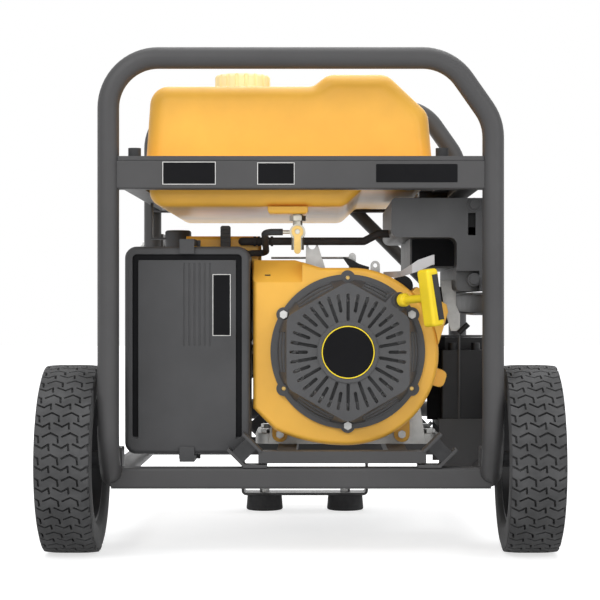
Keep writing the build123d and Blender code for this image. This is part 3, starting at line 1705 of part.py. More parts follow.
def muffler():
    """Pressed muffler box with rounded edges, ribs, inlet pipe and outlet spout."""
    half_width = muffler_width / 2
    face = RectangleRounded(muffler_width, muffler_height, 34)
    body = slab(Pos(muffler_x, muffler_z) * face, muffler_y, muffler_depth)
    ends = body.faces().sort_by(Axis.Y)
    body = fillet(ends[0].edges() + ends[-1].edges(), 16)
    seam = Pos(muffler_x, muffler_z) * RectangleRounded(muffler_width + 8, muffler_height + 8, 38)
    body += slab(seam, muffler_y + muffler_depth / 2 - 2, 4)
    inlet_y = barrel_y + fin_size / 2
    inlet = tube([(port_x, inlet_y, port_z), (port_x, muffler_y + 4, port_z)], exhaust_d)
    spout_y = muffler_y + muffler_depth * 0.68
    spout_z = muffler_z + 22
    spout = tube(
        [(muffler_x - half_width + 6, spout_y, spout_z), (muffler_x - half_width - 22, spout_y, spout_z)],
        34,
    )
    spout -= tube(
        [(muffler_x - half_width - 4, spout_y, spout_z), (muffler_x - half_width - 30, spout_y, spout_z)],
        26,
    )
    return body + inlet + spout


port_x = crank_x - (head_base + head_height / 2) * math.cos(math.radians(cylinder_angle))
port_z = crank_z + (head_base + head_height / 2) * math.sin(math.radians(cylinder_angle))


def muffler_shield():
    """Slotted guard over the muffler's top and back."""
    gap = shield_gap
    x_pair = (muffler_x - muffler_width / 2, muffler_x + muffler_width / 2)
    back = muffler_y + muffler_depth + gap
    top = muffler_z + muffler_height / 2 + gap
    low = muffler_z - muffler_height / 2 + 10
    guard = block(x_pair, (muffler_y + 10, back + 2), (low, top + 2))
    guard = fillet(guard.edges().filter_by(Axis.X).group_by(Axis.Z)[-1].sort_by(Axis.Y)[-1], 8)
    hollow = block(x_pair, (muffler_y, back), (low, top))
    guard -= fillet(hollow.edges().filter_by(Axis.X).group_by(Axis.Z)[-1].sort_by(Axis.Y)[-1], 6)
    cuts = None
    for n in range(7):
        x = muffler_x + (n - 3) * 20
        slot = block((x - 3.5, x + 3.5), (back - 4, back + 6), (low + 16, top - 24))
        cuts = slot if cuts is None else cuts + slot
    guard -= cuts
    for x in (x_pair[0] + 24, x_pair[1] - 24):
        post_y = muffler_y + muffler_depth / 2 + 20
        guard += Pos(x, post_y, top - gap / 2) * Cylinder(5, gap)
    return guard


# Lifting eye, governor linkage and canister

eye_x = 14.0
eye_z = 419.0
eye_hole_d = 10.6
small_eye_x = 103.0
small_eye_z = 391.0
eye_y = block_y + 6.0


def lifting_eye(x, z, ring_r, hole_d, foot_left, foot_right):
    """Lifting plate on top of the block: a ring on a foot that widens downwards."""
    foot_z = crank_z + math.sqrt(block_r**2 - (x - foot_left - crank_x) ** 2) + 1
    foot = Polygon(
        (x - foot_left, foot_z), (x + foot_right, foot_z), (x + ring_r, z), (x - ring_r, z), align=None
    )
    face = Pos(x, z) * Circle(ring_r) + foot - Pos(x, z) * Circle(hole_d / 2)
    return slab(face, eye_y, plate) - slab(block_outline(), block_y, block_length)


def governor_linkage():
    """Governor arm on the block and the thin rod to the carburettor's throttle."""
    arm_x = crank_x + 8
    arm_y = block_y + 24
    low = crank_z + block_r - 4
    rod_z = crank_z + block_r + 32
    arm = slab(Pos(arm_x, (low + rod_z) / 2) * SlotOverall(rod_z - low + 14, 10, rotation=90), arm_y, 3)
    arm -= slab(block_outline(), block_y, block_length)
    rod_end = carb_x + 74
    rod = tube([(arm_x, arm_y + 1.5, rod_z), (rod_end, arm_y + 1.5, rod_z)], 3)
    return arm + rod


canister_gap = 61.5
canister_setback = 400.0
canister_x = canister_gap - half_w
canister_y = front_y + canister_setback
canister_r = 20.0
canister_top = 449.0


def canister():
    """Vapour canister hung from the left tank rail by a folded stay."""
    height = 62.0
    can = Pos(canister_x, canister_y, canister_top - height / 2) * Cylinder(canister_r, height)
    can = fillet(can.edges().filter_by(GeomType.CIRCLE), 4)
    stay_x = -(half_w - tube_d / 2 - free_gap) + sheet * 2
    stay = block((stay_x, canister_x), (canister_y - 8, canister_y + 8), (canister_top - 14, canister_top - 11))
    stay += block(
        (stay_x, stay_x + 3), (canister_y - 8, canister_y + 8), (canister_top - 14, channel_bottom + sheet)
    )
    return can + stay


bolts = Compound(
    [foot_bolt(x) for x in (-foot_span / 2, foot_span / 2)]
    + engine_bolts().solids()
    + recoil_bolts().solids()
    + tank_bolts().solids()
    + both_sides(handle_pivot()).solids()
    + [bolt((x, panel_y - moulding, z), (0, -1, 0), lug_bolt_d, moulding * 2) for x, z in panel_bosses()]
    + [bolt((x, block_y - 6, z), (0, -1, 0), lug_bolt_d, 6) for x, z in blower_tabs]
)

nodes = {
    "front_hoop": Compound(
        [tube(hoop_points(front_y), tube_d, bend_r, tube_wall)] + both_sides(axle_bracket()).solids()
    ),
    "rear_hoop": Compound(
        [tube(hoop_points(rear_y), tube_d, bend_r, tube_wall)] + both_sides(handle_ear()).solids()
    ),
    "cross_members": Compound(
        [crossbar(y) for y in bar_ys] + [tank_channel(front_y, -1), tank_channel(rear_y, 1)]
    ),
    "side_rails": Compound([tank_side_rail(-1), tank_side_rail(1), panel_rail(), rear_brace()]),
    "axles": both_sides(axle()),
    "left_tyre": tyre(-wheel_mid),
    "left_rim": rim(-wheel_mid),
    "right_tyre": tyre(wheel_mid),
    "right_rim": rim(wheel_mid),
    "foot_bracket": foot_bracket(),
    "handle_tube": handle_tube(),
    "handle_grip": handle_grip(),
    "engine_cradle": cradle(),
    "rubber_mounts": Compound(
        [rubber_mount(s, y) for s in (-1, 1) for y in bar_ys]
        + [rubber_foot(x) for x in (-foot_span / 2, foot_span / 2)]
    ),
    "mount_brackets": Compound([mount_bracket(s, y) for s in (-1, 1) for y in bar_ys]),
    "hex_bolts": bolts,
    "engine_block": engine_block(),
    "cylinder_head": cylinder_head(),
    "valve_cover": valve_cover(),
    "spark_plug": spark_plug(),
    "cylinder_shroud": cylinder_shroud(),
    "crankshaft": crankshaft(),
    "flywheel": Compound([flywheel(), starter_cup()]),
    "blower_housing": blower_housing(),
    "recoil_cover": recoil_cover(),
    "emblem": emblem(),
    "recoil_reel": recoil_reel(),
    "starter_rope": starter_rope(),
    "starter_handle": starter_handle(),
    "alternator_adapter": alternator_adapter(),
    "alternator_stator": alternator_stator(),
    "alternator_rotor": alternator_rotor(),
    "alternator_end_cover": end_cover(),
    "air_box_cover": air_cover(),
    "air_box_base": air_base() + choke_bracket(),
    "air_latch_top": air_latch(1),
    "air_latch_bottom": air_latch(-1),
    "air_filter": air_filter(),
    "carburettor": carburettor(),
    "choke_lever": choke_lever(),
    "fuel_valve": fuel_valve(),
    "fuel_valve_lever": fuel_valve_lever(),
    "hoses": Compound([fuel_hose(), wiring_loom()]),
    "tank_upper": tank_upper(),
    "tank_lower": tank_lower(),
    "fuel_cap": fuel_cap(),
    "panel_housing": panel_housing(),
    "panel_face": panel_face(),
    "panel_fittings": Compound(outlets().solids() + switch_cases().solids() + [meter(), ground_stud()]),
    "engine_switch": rocker(),
    "start_button": start_button(),
    "main_breaker": main_breaker(),
    "breaker_button_a": breaker_button(0),
    "breaker_button_b": breaker_button(1),
    "battery": battery(),
    "battery_tray": Compound([battery_tray(), battery_strap()]),
    "starter_motor": starter_motor(),
    "muffler": Compound([muffler(), muffler_shield()]),
    "engine_stays": Compound(
        [
            lifting_eye(eye_x, eye_z, 8.5, eye_hole_d, 10, 30),
            lifting_eye(small_eye_x, small_eye_z, 6.5, 6.0, 7, 7),
            governor_linkage(),
        ]
    ),
    "canister": canister(),
}

for name, solid in nodes.items():
    save(name, solid)
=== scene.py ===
import math

import bmesh
import bpy
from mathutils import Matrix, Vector
from mathutils.geometry import delaunay_2d_cdt


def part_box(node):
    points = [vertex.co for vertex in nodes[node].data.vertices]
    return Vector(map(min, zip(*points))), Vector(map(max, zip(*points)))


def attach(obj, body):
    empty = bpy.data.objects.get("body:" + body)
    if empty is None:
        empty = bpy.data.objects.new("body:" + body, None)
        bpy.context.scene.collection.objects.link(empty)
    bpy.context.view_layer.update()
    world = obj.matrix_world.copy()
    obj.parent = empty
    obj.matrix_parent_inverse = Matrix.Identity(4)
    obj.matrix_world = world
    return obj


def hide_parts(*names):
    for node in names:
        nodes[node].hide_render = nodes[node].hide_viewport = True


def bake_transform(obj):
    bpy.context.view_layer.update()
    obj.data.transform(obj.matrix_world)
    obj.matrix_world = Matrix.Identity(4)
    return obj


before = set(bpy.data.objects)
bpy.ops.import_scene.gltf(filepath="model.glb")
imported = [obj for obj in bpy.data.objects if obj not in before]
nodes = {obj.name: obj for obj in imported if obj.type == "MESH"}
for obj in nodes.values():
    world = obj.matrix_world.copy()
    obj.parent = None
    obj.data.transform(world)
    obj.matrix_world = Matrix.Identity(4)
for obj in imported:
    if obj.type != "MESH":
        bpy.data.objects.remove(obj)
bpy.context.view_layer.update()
scene = bpy.context.scene
scene.view_settings.view_transform = "Standard"

# The object's own marks, in metres: the front hoop's plane and the crankshaft's line
FRONT = -0.32475
CRANK = Vector((0.063, 0.0, 0.272))

# The photograph's camera: width, focal length and image centre in pixels, place in metres
PICTURE = 600.0
FOCAL = 1876.0
CENTRE_RIGHT = 22.0
CENTRE_BELOW = 3.0
SENSOR = 36.0
CAMERA_X = 0.028
CAMERA_Z = 0.338
CAMERA_AHEAD = 2.471
CAMERA_REACH = 50.0


def photo_camera():
    """Level camera at the photograph's place, ahead of the front hoop."""
    data = bpy.data.cameras.new("camera")
    data.sensor_width = SENSOR
    data.lens = SENSOR * FOCAL / PICTURE
    data.shift_x = -CENTRE_RIGHT / PICTURE
    data.shift_y = CENTRE_BELOW / PICTURE
    data.clip_end = CAMERA_REACH
    camera = bpy.data.objects.new("camera", data)
    camera.location = (CAMERA_X, FRONT - CAMERA_AHEAD, CAMERA_Z)
    camera.rotation_euler = (math.pi / 2, 0, 0)
    scene.collection.objects.link(camera)
    scene.camera = camera


def area_light(name, place, aim, size, power):
    """Soft square lamp aimed at a height on the object's middle line."""
    data = bpy.data.lights.new(name, "AREA")
    data.energy = power
    data.size = size
    lamp = bpy.data.objects.new(name, data)
    lamp.location = place
    lamp.rotation_euler = (Vector((0, 0, aim)) - Vector(place)).to_track_quat("-Z", "Y").to_euler()
    scene.collection.objects.link(lamp)


photo_camera()
area_light("key", place=(-1.4, -2.6, 2.3), aim=0.35, size=2.0, power=54)
area_light("fill", place=(2.2, -2.2, 1.4), aim=0.35, size=1.8, power=28)
area_light("low", place=(0.2, -3.4, 0.5), aim=0.30, size=1.8, power=16)
area_light("top", place=(0.2, 0.3, 2.6), aim=0.40, size=2.2, power=36)
area_light("back", place=(0.4, 2.8, 1.8), aim=0.40, size=2.2, power=30)


# World, white where it is seen and softer as light
SKY_TINT = (0.95, 0.97, 1.0, 1)
SKY_STRENGTH = 0.38
WHITE = (1, 1, 1, 1)


def seen_rays(tree):
    """One for rays from the camera, off gloss and through glass."""
    path = tree.nodes.new("ShaderNodeLightPath")
    seen = path.outputs["Is Camera Ray"]
    for ray in ("Is Glossy Ray", "Is Transmission Ray"):
        either = tree.nodes.new("ShaderNodeMath")
        either.operation = "MAXIMUM"
        tree.links.new(seen, either.inputs[0])
        tree.links.new(path.outputs[ray], either.inputs[1])
        seen = either.outputs[0]
    return seen


def light_world():
    """White for the camera, gloss and glass; a softer grey for the light on the object."""
    world = bpy.data.worlds.new("studio")
    scene.world = world
    world.use_nodes = True
    tree = world.node_tree
    tree.nodes.clear()
    out = tree.nodes.new("ShaderNodeOutputWorld")
    mix = tree.nodes.new("ShaderNodeMixShader")
    tree.links.new(seen_rays(tree), mix.inputs["Fac"])
    for socket, colour, strength in ((mix.inputs[1], SKY_TINT, SKY_STRENGTH), (mix.inputs[2], WHITE, 1.0)):
        sky = tree.nodes.new("ShaderNodeBackground")
        sky.inputs["Color"].default_value = colour
        sky.inputs["Strength"].default_value = strength
        tree.links.new(sky.outputs[0], socket)
    tree.links.new(mix.outputs[0], out.inputs["Surface"])


light_world()


class Surface:
    """Small builder for a procedural material on object coordinates in metres."""

    NOISE_ROUGHNESS = 0.55
    EDGE_SAMPLES = 6
    EDGE_FLAT = 0.99
    EDGE_SHARP = 0.80
    MIX_FACTOR, MIX_FIRST, MIX_SECOND, MIX_RESULT = 0, 6, 7, 2

    def __init__(self, name):
        self.material = bpy.data.materials.new(name)
        self.material.use_nodes = True
        self.tree = self.material.node_tree
        self.shader = self.tree.nodes["Principled BSDF"]
        self.place = self.tree.nodes.new("ShaderNodeTexCoord").outputs["Object"]

    def feed(self, socket, value):
        """Link a socket to its source, or set its value."""
        if hasattr(value, "links"):
            self.tree.links.new(value, socket)
        elif socket.type == "RGBA":
            socket.default_value = (*value, 1)
        else:
            socket.default_value = value

    def node(self, kind, **inputs):
        """New node with its inputs fed, an underscore standing for a space."""
        made = self.tree.nodes.new(kind)
        for key, value in inputs.items():
            self.feed(made.inputs[key.replace("_", " ")], value)
        return made

    def set(self, **inputs):
        """Feed the shader's own inputs."""
        for key, value in inputs.items():
            self.feed(self.shader.inputs[key.replace("_", " ")], value)

    def noise(self, scale, detail=3.0, stretch=None):
        place = self.place
        if stretch:
            place = self.node("ShaderNodeMapping", Vector=place, Scale=stretch).outputs[0]
        made = self.node("ShaderNodeTexNoise", Vector=place, Scale=scale, Detail=detail)
        self.feed(made.inputs["Roughness"], self.NOISE_ROUGHNESS)
        return made.outputs[0]

    def ramp(self, fac, dark, light, low=0.3, high=0.7):
        """Colour that runs from dark at the low level to light at the high one."""
        made = self.node("ShaderNodeValToRGB", Fac=fac)
        first, second = made.color_ramp.elements
        first.position, first.color = low, (*dark, 1)
        second.position, second.color = high, (*light, 1)
        return made.outputs[0]

    def value(self, fac, low, high):
        return self.node("ShaderNodeMapRange", Value=fac, To_Min=low, To_Max=high).outputs[0]

    def math(self, operation, a, b):
        made = self.tree.nodes.new("ShaderNodeMath")
        made.operation = operation
        self.feed(made.inputs[0], a)
        self.feed(made.inputs[1], b)
        return made.outputs[0]

    def mix(self, fac, first, second):
        made = self.tree.nodes.new("ShaderNodeMix")
        made.data_type = "RGBA"
        self.feed(made.inputs[self.MIX_FACTOR], fac)
        self.feed(made.inputs[self.MIX_FIRST], first)
        self.feed(made.inputs[self.MIX_SECOND], second)
        return made.outputs[self.MIX_RESULT]

    def edge(self, radius):
        """Rounded-edge normal, and a mask that is high along edges."""
        bevel = self.node("ShaderNodeBevel", Radius=radius)
        bevel.samples = self.EDGE_SAMPLES
        flat = self.tree.nodes.new("ShaderNodeNewGeometry").outputs["Normal"]
        dot = self.tree.nodes.new("ShaderNodeVectorMath")
        dot.operation = "DOT_PRODUCT"
        self.feed(dot.inputs[0], bevel.outputs[0])
        self.feed(dot.inputs[1], flat)
        mask = self.node("ShaderNodeMapRange", Value=dot.outputs["Value"])
        self.feed(mask.inputs["From Min"], self.EDGE_FLAT)
        self.feed(mask.inputs["From Max"], self.EDGE_SHARP)
        return bevel.outputs[0], mask.outputs[0]

    def bump(self, height, strength, distance, normal=None):
        """Fine relief over the rounded edges; the finished material."""
        made = self.node("ShaderNodeBump", Height=height, Strength=strength, Distance=distance)
        if normal is not None:
            self.feed(made.inputs["Normal"], normal)
        self.feed(self.shader.inputs["Normal"], made.outputs[0])
        return self.material


def shade(colour, factor, lift=0.0):
    """A colour made darker or lighter."""
    return tuple(c * factor + lift for c in colour)


def capped(colour):
    """A colour held within white."""
    return tuple(min(1, c) for c in colour)


def paint(name, colour, rough, grain, edge_colour, coat=0.0, edge=0.0012, wear=0.5):
    """Sprayed or powder coat: slight orange peel, faint shade changes, worn edges."""
    s = Surface(name)
    normal, mask = s.edge(edge)
    cloud = s.noise(scale=9.0, detail=4.0)
    body = s.ramp(cloud, dark=shade(colour, 0.9), light=capped(shade(colour, 1.08)))
    speck_level = 0.46
    speck = s.math("GREATER_THAN", s.noise(scale=260.0), speck_level)
    worn = s.math("MULTIPLY", s.math("MULTIPLY", mask, speck), wear)
    s.set(Base_Color=s.mix(worn, body, edge_colour))
    s.set(Roughness=s.value(s.noise(scale=60.0), low=rough - 0.06, high=rough + 0.08))
    s.set(Coat_Weight=coat, Coat_Roughness=0.12, Specular_IOR_Level=0.3)
    return s.bump(s.noise(grain, detail=2.0), strength=0.25, distance=0.0004, normal=normal)


def moulded(name, colour, rough, grain=1600.0, strength=0.35, gloss=0.25):
    """Textured plastic with a fine grain, its edges painted lighter as a highlight."""
    s = Surface(name)
    normal, mask = s.edge(radius=0.001)
    body = s.ramp(s.noise(scale=14.0), dark=shade(colour, 0.88), light=shade(colour, 1.1))
    # Painted highlight: a lighter colour laid along every edge
    edge_highlight = capped(shade(colour, 1.9, lift=0.01))
    edge_share = 0.35
    s.set(Base_Color=s.mix(s.math("MULTIPLY", mask, edge_share), body, edge_highlight))
    s.set(Roughness=s.value(s.noise(scale=90.0, detail=2.0), low=rough - 0.07, high=rough + 0.07))
    s.set(Specular_IOR_Level=gloss)
    return s.bump(s.noise(grain, detail=2.0), strength, distance=0.0003, normal=normal)


def metal(name, colour, rough, stretch=(1, 1, 1), scale=500.0, edge=0.0006):
    """Bare metal: brushed or cast grain, darker in patches."""
    s = Surface(name)
    normal, mask = s.edge(edge)
    patches = s.noise(scale=22.0, detail=5.0)
    body = s.ramp(patches, dark=shade(colour, 0.65), light=colour, low=0.35, high=0.65)
    edge_share = 0.5
    s.set(Base_Color=s.mix(s.math("MULTIPLY", mask, edge_share), body, shade(colour, 1.25)))
    s.set(Metallic=1.0)
    fine = s.noise(scale, stretch=stretch)
    s.set(Roughness=s.value(fine, low=rough - 0.08, high=rough + 0.12))
    return s.bump(fine, strength=0.2, distance=0.0002, normal=normal)


def rubbery(name, colour, rough=0.75, grain=900.0):
    """Rubber or foam with a fine matte grain and a little dust."""
    s = Surface(name)
    normal, mask = s.edge(radius=0.001)
    dusty = shade(colour, 1.5, lift=0.008)
    body = s.ramp(s.noise(scale=30.0, detail=5.0), dark=colour, light=dusty, low=0.4, high=0.75)
    edge_share = 0.3
    s.set(Base_Color=s.mix(s.math("MULTIPLY", mask, edge_share), body, shade(colour, 2.0, lift=0.01)))
    s.set(Roughness=s.value(s.noise(scale=200.0, detail=2.0), low=rough - 0.08, high=rough + 0.1))
    s.set(Specular_IOR_Level=0.25)
    return s.bump(s.noise(grain), strength=0.35, distance=0.0004, normal=normal)


def pleated_paper(name, dark, light):
    """Filter paper with fine fibres."""
    s = Surface(name)
    fibre = s.noise(scale=1200.0, detail=4.0, stretch=(1, 1, 0.2))
    s.set(Base_Color=s.ramp(fibre, dark, light), Roughness=0.9)
    return s.bump(fibre, strength=0.4, distance=0.0004)


frame_paint = paint(
    "frame_paint", (0.060, 0.059, 0.060), rough=0.48, grain=700.0, edge_colour=(0.11, 0.11, 0.11)
)
yellow_paint = paint(
    "yellow_paint", (0.94, 0.50, 0.070), rough=0.42, grain=420.0, edge_colour=(0.97, 0.60, 0.14),
    coat=0.08, edge=0.002, wear=0.35,
)
black_paint = paint(
    "black_paint", (0.028, 0.028, 0.030), rough=0.5, grain=900.0, edge_colour=(0.09, 0.09, 0.09)
)
galvanised = paint(
    "galvanised", (0.52, 0.51, 0.52), rough=0.40, grain=500.0, edge_colour=(0.62, 0.62, 0.62)
)
zinc = metal("zinc", (0.46, 0.46, 0.45), rough=0.42)
steel = metal("steel", (0.42, 0.42, 0.43), rough=0.38, stretch=(1, 0.05, 1))
cast_alloy = metal("cast_alloy", (0.50, 0.50, 0.49), rough=0.55, scale=700.0, edge=0.001)
brass = metal("brass", (0.50, 0.34, 0.12), rough=0.38)
plated_brass = metal("plated_brass", (0.44, 0.42, 0.36), rough=0.38)
tyre_rubber = rubbery("tyre_rubber", (0.056, 0.056, 0.057), rough=0.78, grain=700.0)
rubber = rubbery("rubber", (0.035, 0.035, 0.036))
dark_plastic = moulded("dark_plastic", (0.062, 0.062, 0.064), rough=0.52)
grey_plastic = moulded("grey_plastic", (0.075, 0.075, 0.077), rough=0.46)
black_plastic = moulded("black_plastic", (0.010, 0.010, 0.011), rough=0.45)
matt_black = moulded("matt_black", (0.008, 0.008, 0.009), rough=0.70, gloss=0.08)
yellow_plastic = moulded("yellow_plastic", (0.98, 0.72, 0.03), rough=0.34, grain=900.0, strength=0.15)
cap_plastic = moulded("cap_plastic", (0.90, 0.83, 0.50), rough=0.40, grain=900.0, strength=0.15)
red_plastic = moulded("red_plastic", (0.55, 0.03, 0.02), rough=0.35, grain=900.0, strength=0.15)
white_plastic = moulded("white_plastic", (0.80, 0.79, 0.76), rough=0.45, grain=900.0, strength=0.15)
paper = pleated_paper("paper", dark=(0.66, 0.56, 0.38), light=(0.82, 0.74, 0.56))

looks = {
    frame_paint: (
        "front_hoop rear_hoop cross_members side_rails foot_bracket handle_tube "
        "engine_cradle mount_brackets battery_tray"
    ),
    yellow_paint: "cylinder_shroud blower_housing tank_upper tank_lower",
    black_paint: "axles left_rim right_rim valve_cover starter_motor muffler",
    zinc: "hex_bolts engine_stays",
    steel: "crankshaft flywheel alternator_stator alternator_rotor",
    cast_alloy: "engine_block cylinder_head alternator_adapter alternator_end_cover carburettor",
    plated_brass: "fuel_valve",
    brass: "fuel_valve_lever",
    rubber: "rubber_mounts spark_plug hoses",
    dark_plastic: (
        "air_box_cover air_box_base air_latch_top air_latch_bottom "
        "choke_lever canister recoil_reel"
    ),
    grey_plastic: "recoil_cover panel_housing panel_face",
    black_plastic: "battery panel_fittings main_breaker breaker_button_a breaker_button_b",
    matt_black: "emblem",
    red_plastic: "engine_switch start_button",
    yellow_plastic: "starter_handle",
    cap_plastic: "fuel_cap",
    paper: "air_filter",
}
for look, names in looks.items():
    for name in names.split():
        nodes[name].data.materials.clear()
        nodes[name].data.materials.append(look)


def piece(name, mesh, look, body="frame"):
    """Link a new piece, give it its look and let it ride on a body."""
    mesh.materials.append(look)
    made = bpy.data.objects.new(name, mesh)
    scene.collection.objects.link(made)
    if body:
        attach(made, body)
    return made


def finished(name, bm):
    """Plain mesh from a bmesh that is no longer needed."""
    mesh = bpy.data.meshes.new(name)
    bm.normal_update()
    bm.to_mesh(mesh)
    bm.free()
    return mesh


CAP_CREASE = math.radians(50)


def grid_mesh(name, rows, close_rows=False, smooth=True, caps=False):
    """Quad mesh through rings of points, closed round each ring and capped on request."""
    count = len(rows)
    width = len(rows[0])
    points = [p for row in rows for p in row]
    faces = []
    for i in range(count if close_rows else count - 1):
        for j in range(width):
            a = i * width + j
            b = i * width + (j + 1) % width
            c = ((i + 1) % count) * width + (j + 1) % width
            d = ((i + 1) % count) * width + j
            faces.append((a, b, c, d))
    if caps:
        faces.append(tuple(reversed(range(width))))
        faces.append(tuple(range((count - 1) * width, count * width)))
    mesh = bpy.data.meshes.new(name)
    mesh.from_pydata(points, [], faces)
    mesh.polygons.foreach_set("use_smooth", [smooth] * len(faces))
    mesh.update()
    if caps:
        mesh.set_sharp_from_angle(angle=CAP_CREASE)
    return mesh


def round_turn(count):
    """Angles of a full turn in even steps."""
    return [2 * math.pi * n / count for n in range(count)]


# Tyres with a moulded tread of hooked chevron grooves
TYRE_R = 0.127
TYRE_HALF = 0.037
TYRE_FACETS = 112
SEAT_R = 0.086
TREAD_HALF = 0.0352
TREAD_DEPTH = 0.0052
TREAD_SECTORS = 28
TREAD_ROWS = 5
TREAD_SHOULDER = 0.6 * TREAD_HALF
TREAD_CROWN = 0.0016
CROWN_POWER = 4
TREAD_CREASE = math.radians(32)
BLOCK_ROOT = 0.0008
GROOVE = 0.0027
SECTOR = 2 * math.pi * TYRE_R / TREAD_SECTORS
SECTOR_LOW = -0.65 * SECTOR
SECTOR_HIGH = 0.35 * SECTOR
CHEVRON = 0.0253
CHEVRON_START = 0.010
CHEVRONS_ASIDE = 2
CUT_TOLERANCE = 1e-7
WELD_DISTANCE = 2e-6

# The two hooked grooves of a chevron, in shares of its width and of the sector
LOW_HOOK = [(0.00, 0.00), (0.40, 0.18), (0.74, 0.00), (0.77, 0.26)]
HIGH_HOOK = [(0.44, -0.36), (0.84, -0.53), (1.20, -0.36), (1.23, -0.10)]

# Half of the tyre's section under the blocks: shares of its half width, and radii
FLOOR_R = TYRE_R - TREAD_DEPTH
TREAD_FLOOR_LINE = [
    (0.0, FLOOR_R), (0.5, FLOOR_R), (0.92, FLOOR_R - 0.001), (0.97, FLOOR_R - 0.0002), (1.0, FLOOR_R - 0.003)
]
SIDEWALL = [(1.0, 0.108), (0.99, 0.103), (0.985, 0.100), (0.97, 0.0945), (0.93, 0.0905), (0.81, SEAT_R)]


def groove_paths():
    """Centre lines of the grooves in one sector, as (across, along) points in metres."""
    paths = []
    for n in range(-CHEVRONS_ASIDE, CHEVRONS_ASIDE + 1):
        a = n * CHEVRON
        for hook in (LOW_HOOK, HIGH_HOOK):
            paths.append([(a - CHEVRON_START + u * CHEVRON, v * SECTOR) for u, v in hook])
    return paths


def near_path(point, path):
    """True when a point lies inside a groove that follows a path."""
    for start, end in zip(path, path[1:]):
        a, b = Vector(start), Vector(end)
        t = max(0.0, min(1.0, (point - a).dot(b - a) / (b - a).length_squared))
        if (a.lerp(b, t) - point).length < GROOVE / 2:
            return True
    return False


def tread_sector():
    """Flat triangles of one sector's blocks, cut along the grooves."""
    points, edges = [], []

    def line(a, b):
        points.extend([Vector(a), Vector(b)])
        edges.append((len(points) - 2, len(points) - 1))

    for n in range(TREAD_ROWS + 1):
        v = SECTOR_LOW + (SECTOR_HIGH - SECTOR_LOW) * n / TREAD_ROWS
        line((-TREAD_HALF, v), (TREAD_HALF, v))
    for u in (-TREAD_HALF, -TREAD_SHOULDER, TREAD_SHOULDER, TREAD_HALF):
        line((u, SECTOR_LOW), (u, SECTOR_HIGH))
    paths = groove_paths()
    for path in paths:
        for start, end in zip(path, path[1:]):
            a, b = Vector(start), Vector(end)
            side = Vector((a.y - b.y, b.x - a.x)).normalized() * (GROOVE / 2)
            over = (b - a).normalized() * (GROOVE / 2)
            corners = [a - over - side, b + over - side, b + over + side, a - over + side]
            for n, corner in enumerate(corners):
                line(corner, corners[(n + 1) % len(corners)])
    cut = delaunay_2d_cdt(points, edges, [], 0, CUT_TOLERANCE)
    flat, triangles = cut[0], cut[2]
    kept = []
    for face in triangles:
        middle = sum((flat[i] for i in face), Vector((0, 0))) / 3
        inside = abs(middle.x) < TREAD_HALF and SECTOR_LOW < middle.y < SECTOR_HIGH
        if inside and not any(near_path(middle, path) for path in paths):
            kept.append(face)
    return flat, kept


def wheel_point(axle, across, radius, angle):
    """Point at a radius and an angle round the axle's line, moved across the tyre."""
    return axle.x + across, axle.y + radius * math.cos(angle), axle.z + radius * math.sin(angle)


def add_blocks(bm, axle):
    """Tread blocks wrapped round the tyre, with walls down into the grooves."""
    flat, triangles = tread_sector()
    for n in range(TREAD_SECTORS):
        corners = {}
        for face in triangles:
            for i in face:
                if i not in corners:
                    u, v = flat[i]
                    radius = TYRE_R - TREAD_CROWN * (u / TREAD_HALF) ** CROWN_POWER
                    corners[i] = bm.verts.new(wheel_point(axle, u, radius, (v + n * SECTOR) / TYRE_R))
            bm.faces.new([corners[i] for i in face])
    bmesh.ops.remove_doubles(bm, verts=bm.verts[:], dist=WELD_DISTANCE)
    rim = [e for e in bm.edges if len(e.link_faces) == 1]
    for made in bmesh.ops.extrude_edge_only(bm, edges=rim)["geom"]:
        if isinstance(made, bmesh.types.BMVert):
            arm = Vector((0, made.co.y - axle.y, made.co.z - axle.z))
            made.co -= arm.normalized() * (TREAD_DEPTH + BLOCK_ROOT)


def add_carcass(bm, axle):
    """Lathe of the tyre's body, up to the floor of the grooves."""
    half = TREAD_FLOOR_LINE + SIDEWALL
    section = [(-TYRE_HALF * a, r) for a, r in reversed(half)] + [(TYRE_HALF * a, r) for a, r in half[1:]]
    rings = []
    for angle in round_turn(TYRE_FACETS):
        rings.append([bm.verts.new(wheel_point(axle, across, r, angle)) for across, r in section])
    for ring, after in zip(rings, rings[1:] + rings[:1]):
        for j in range(len(section)):
            k = (j + 1) % len(section)
            bm.faces.new((ring[j], ring[k], after[k], after[j]))


def tyre_mesh(name, axle):
    """Tyre body with raised tread blocks."""
    bm = bmesh.new()
    add_blocks(bm, axle)
    add_carcass(bm, axle)
    bmesh.ops.recalc_face_normals(bm, faces=bm.faces[:])
    for face in bm.faces:
        face.smooth = True
    mesh = finished(name, bm)
    mesh.set_sharp_from_angle(angle=TREAD_CREASE)
    return mesh


for side in ("left", "right"):
    low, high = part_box(side + "_tyre")
    name = side + "_tread"
    tyre = piece(name, tyre_mesh(name, (low + high) / 2), tyre_rubber, side + "_wheel")
    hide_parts(side + "_tyre")


# Foam sleeve on the rear handle
GRIP_BORE = 0.0127
GRIP_ROUND = 0.004
GRIP_ROUND_IN = 0.001
GRIP_ROUND_DOWN = 0.0015
GRIP_STEPS = 60
GRIP_FACETS = 48
RING_STEPS = 4
RING_DEPTH = 0.0008


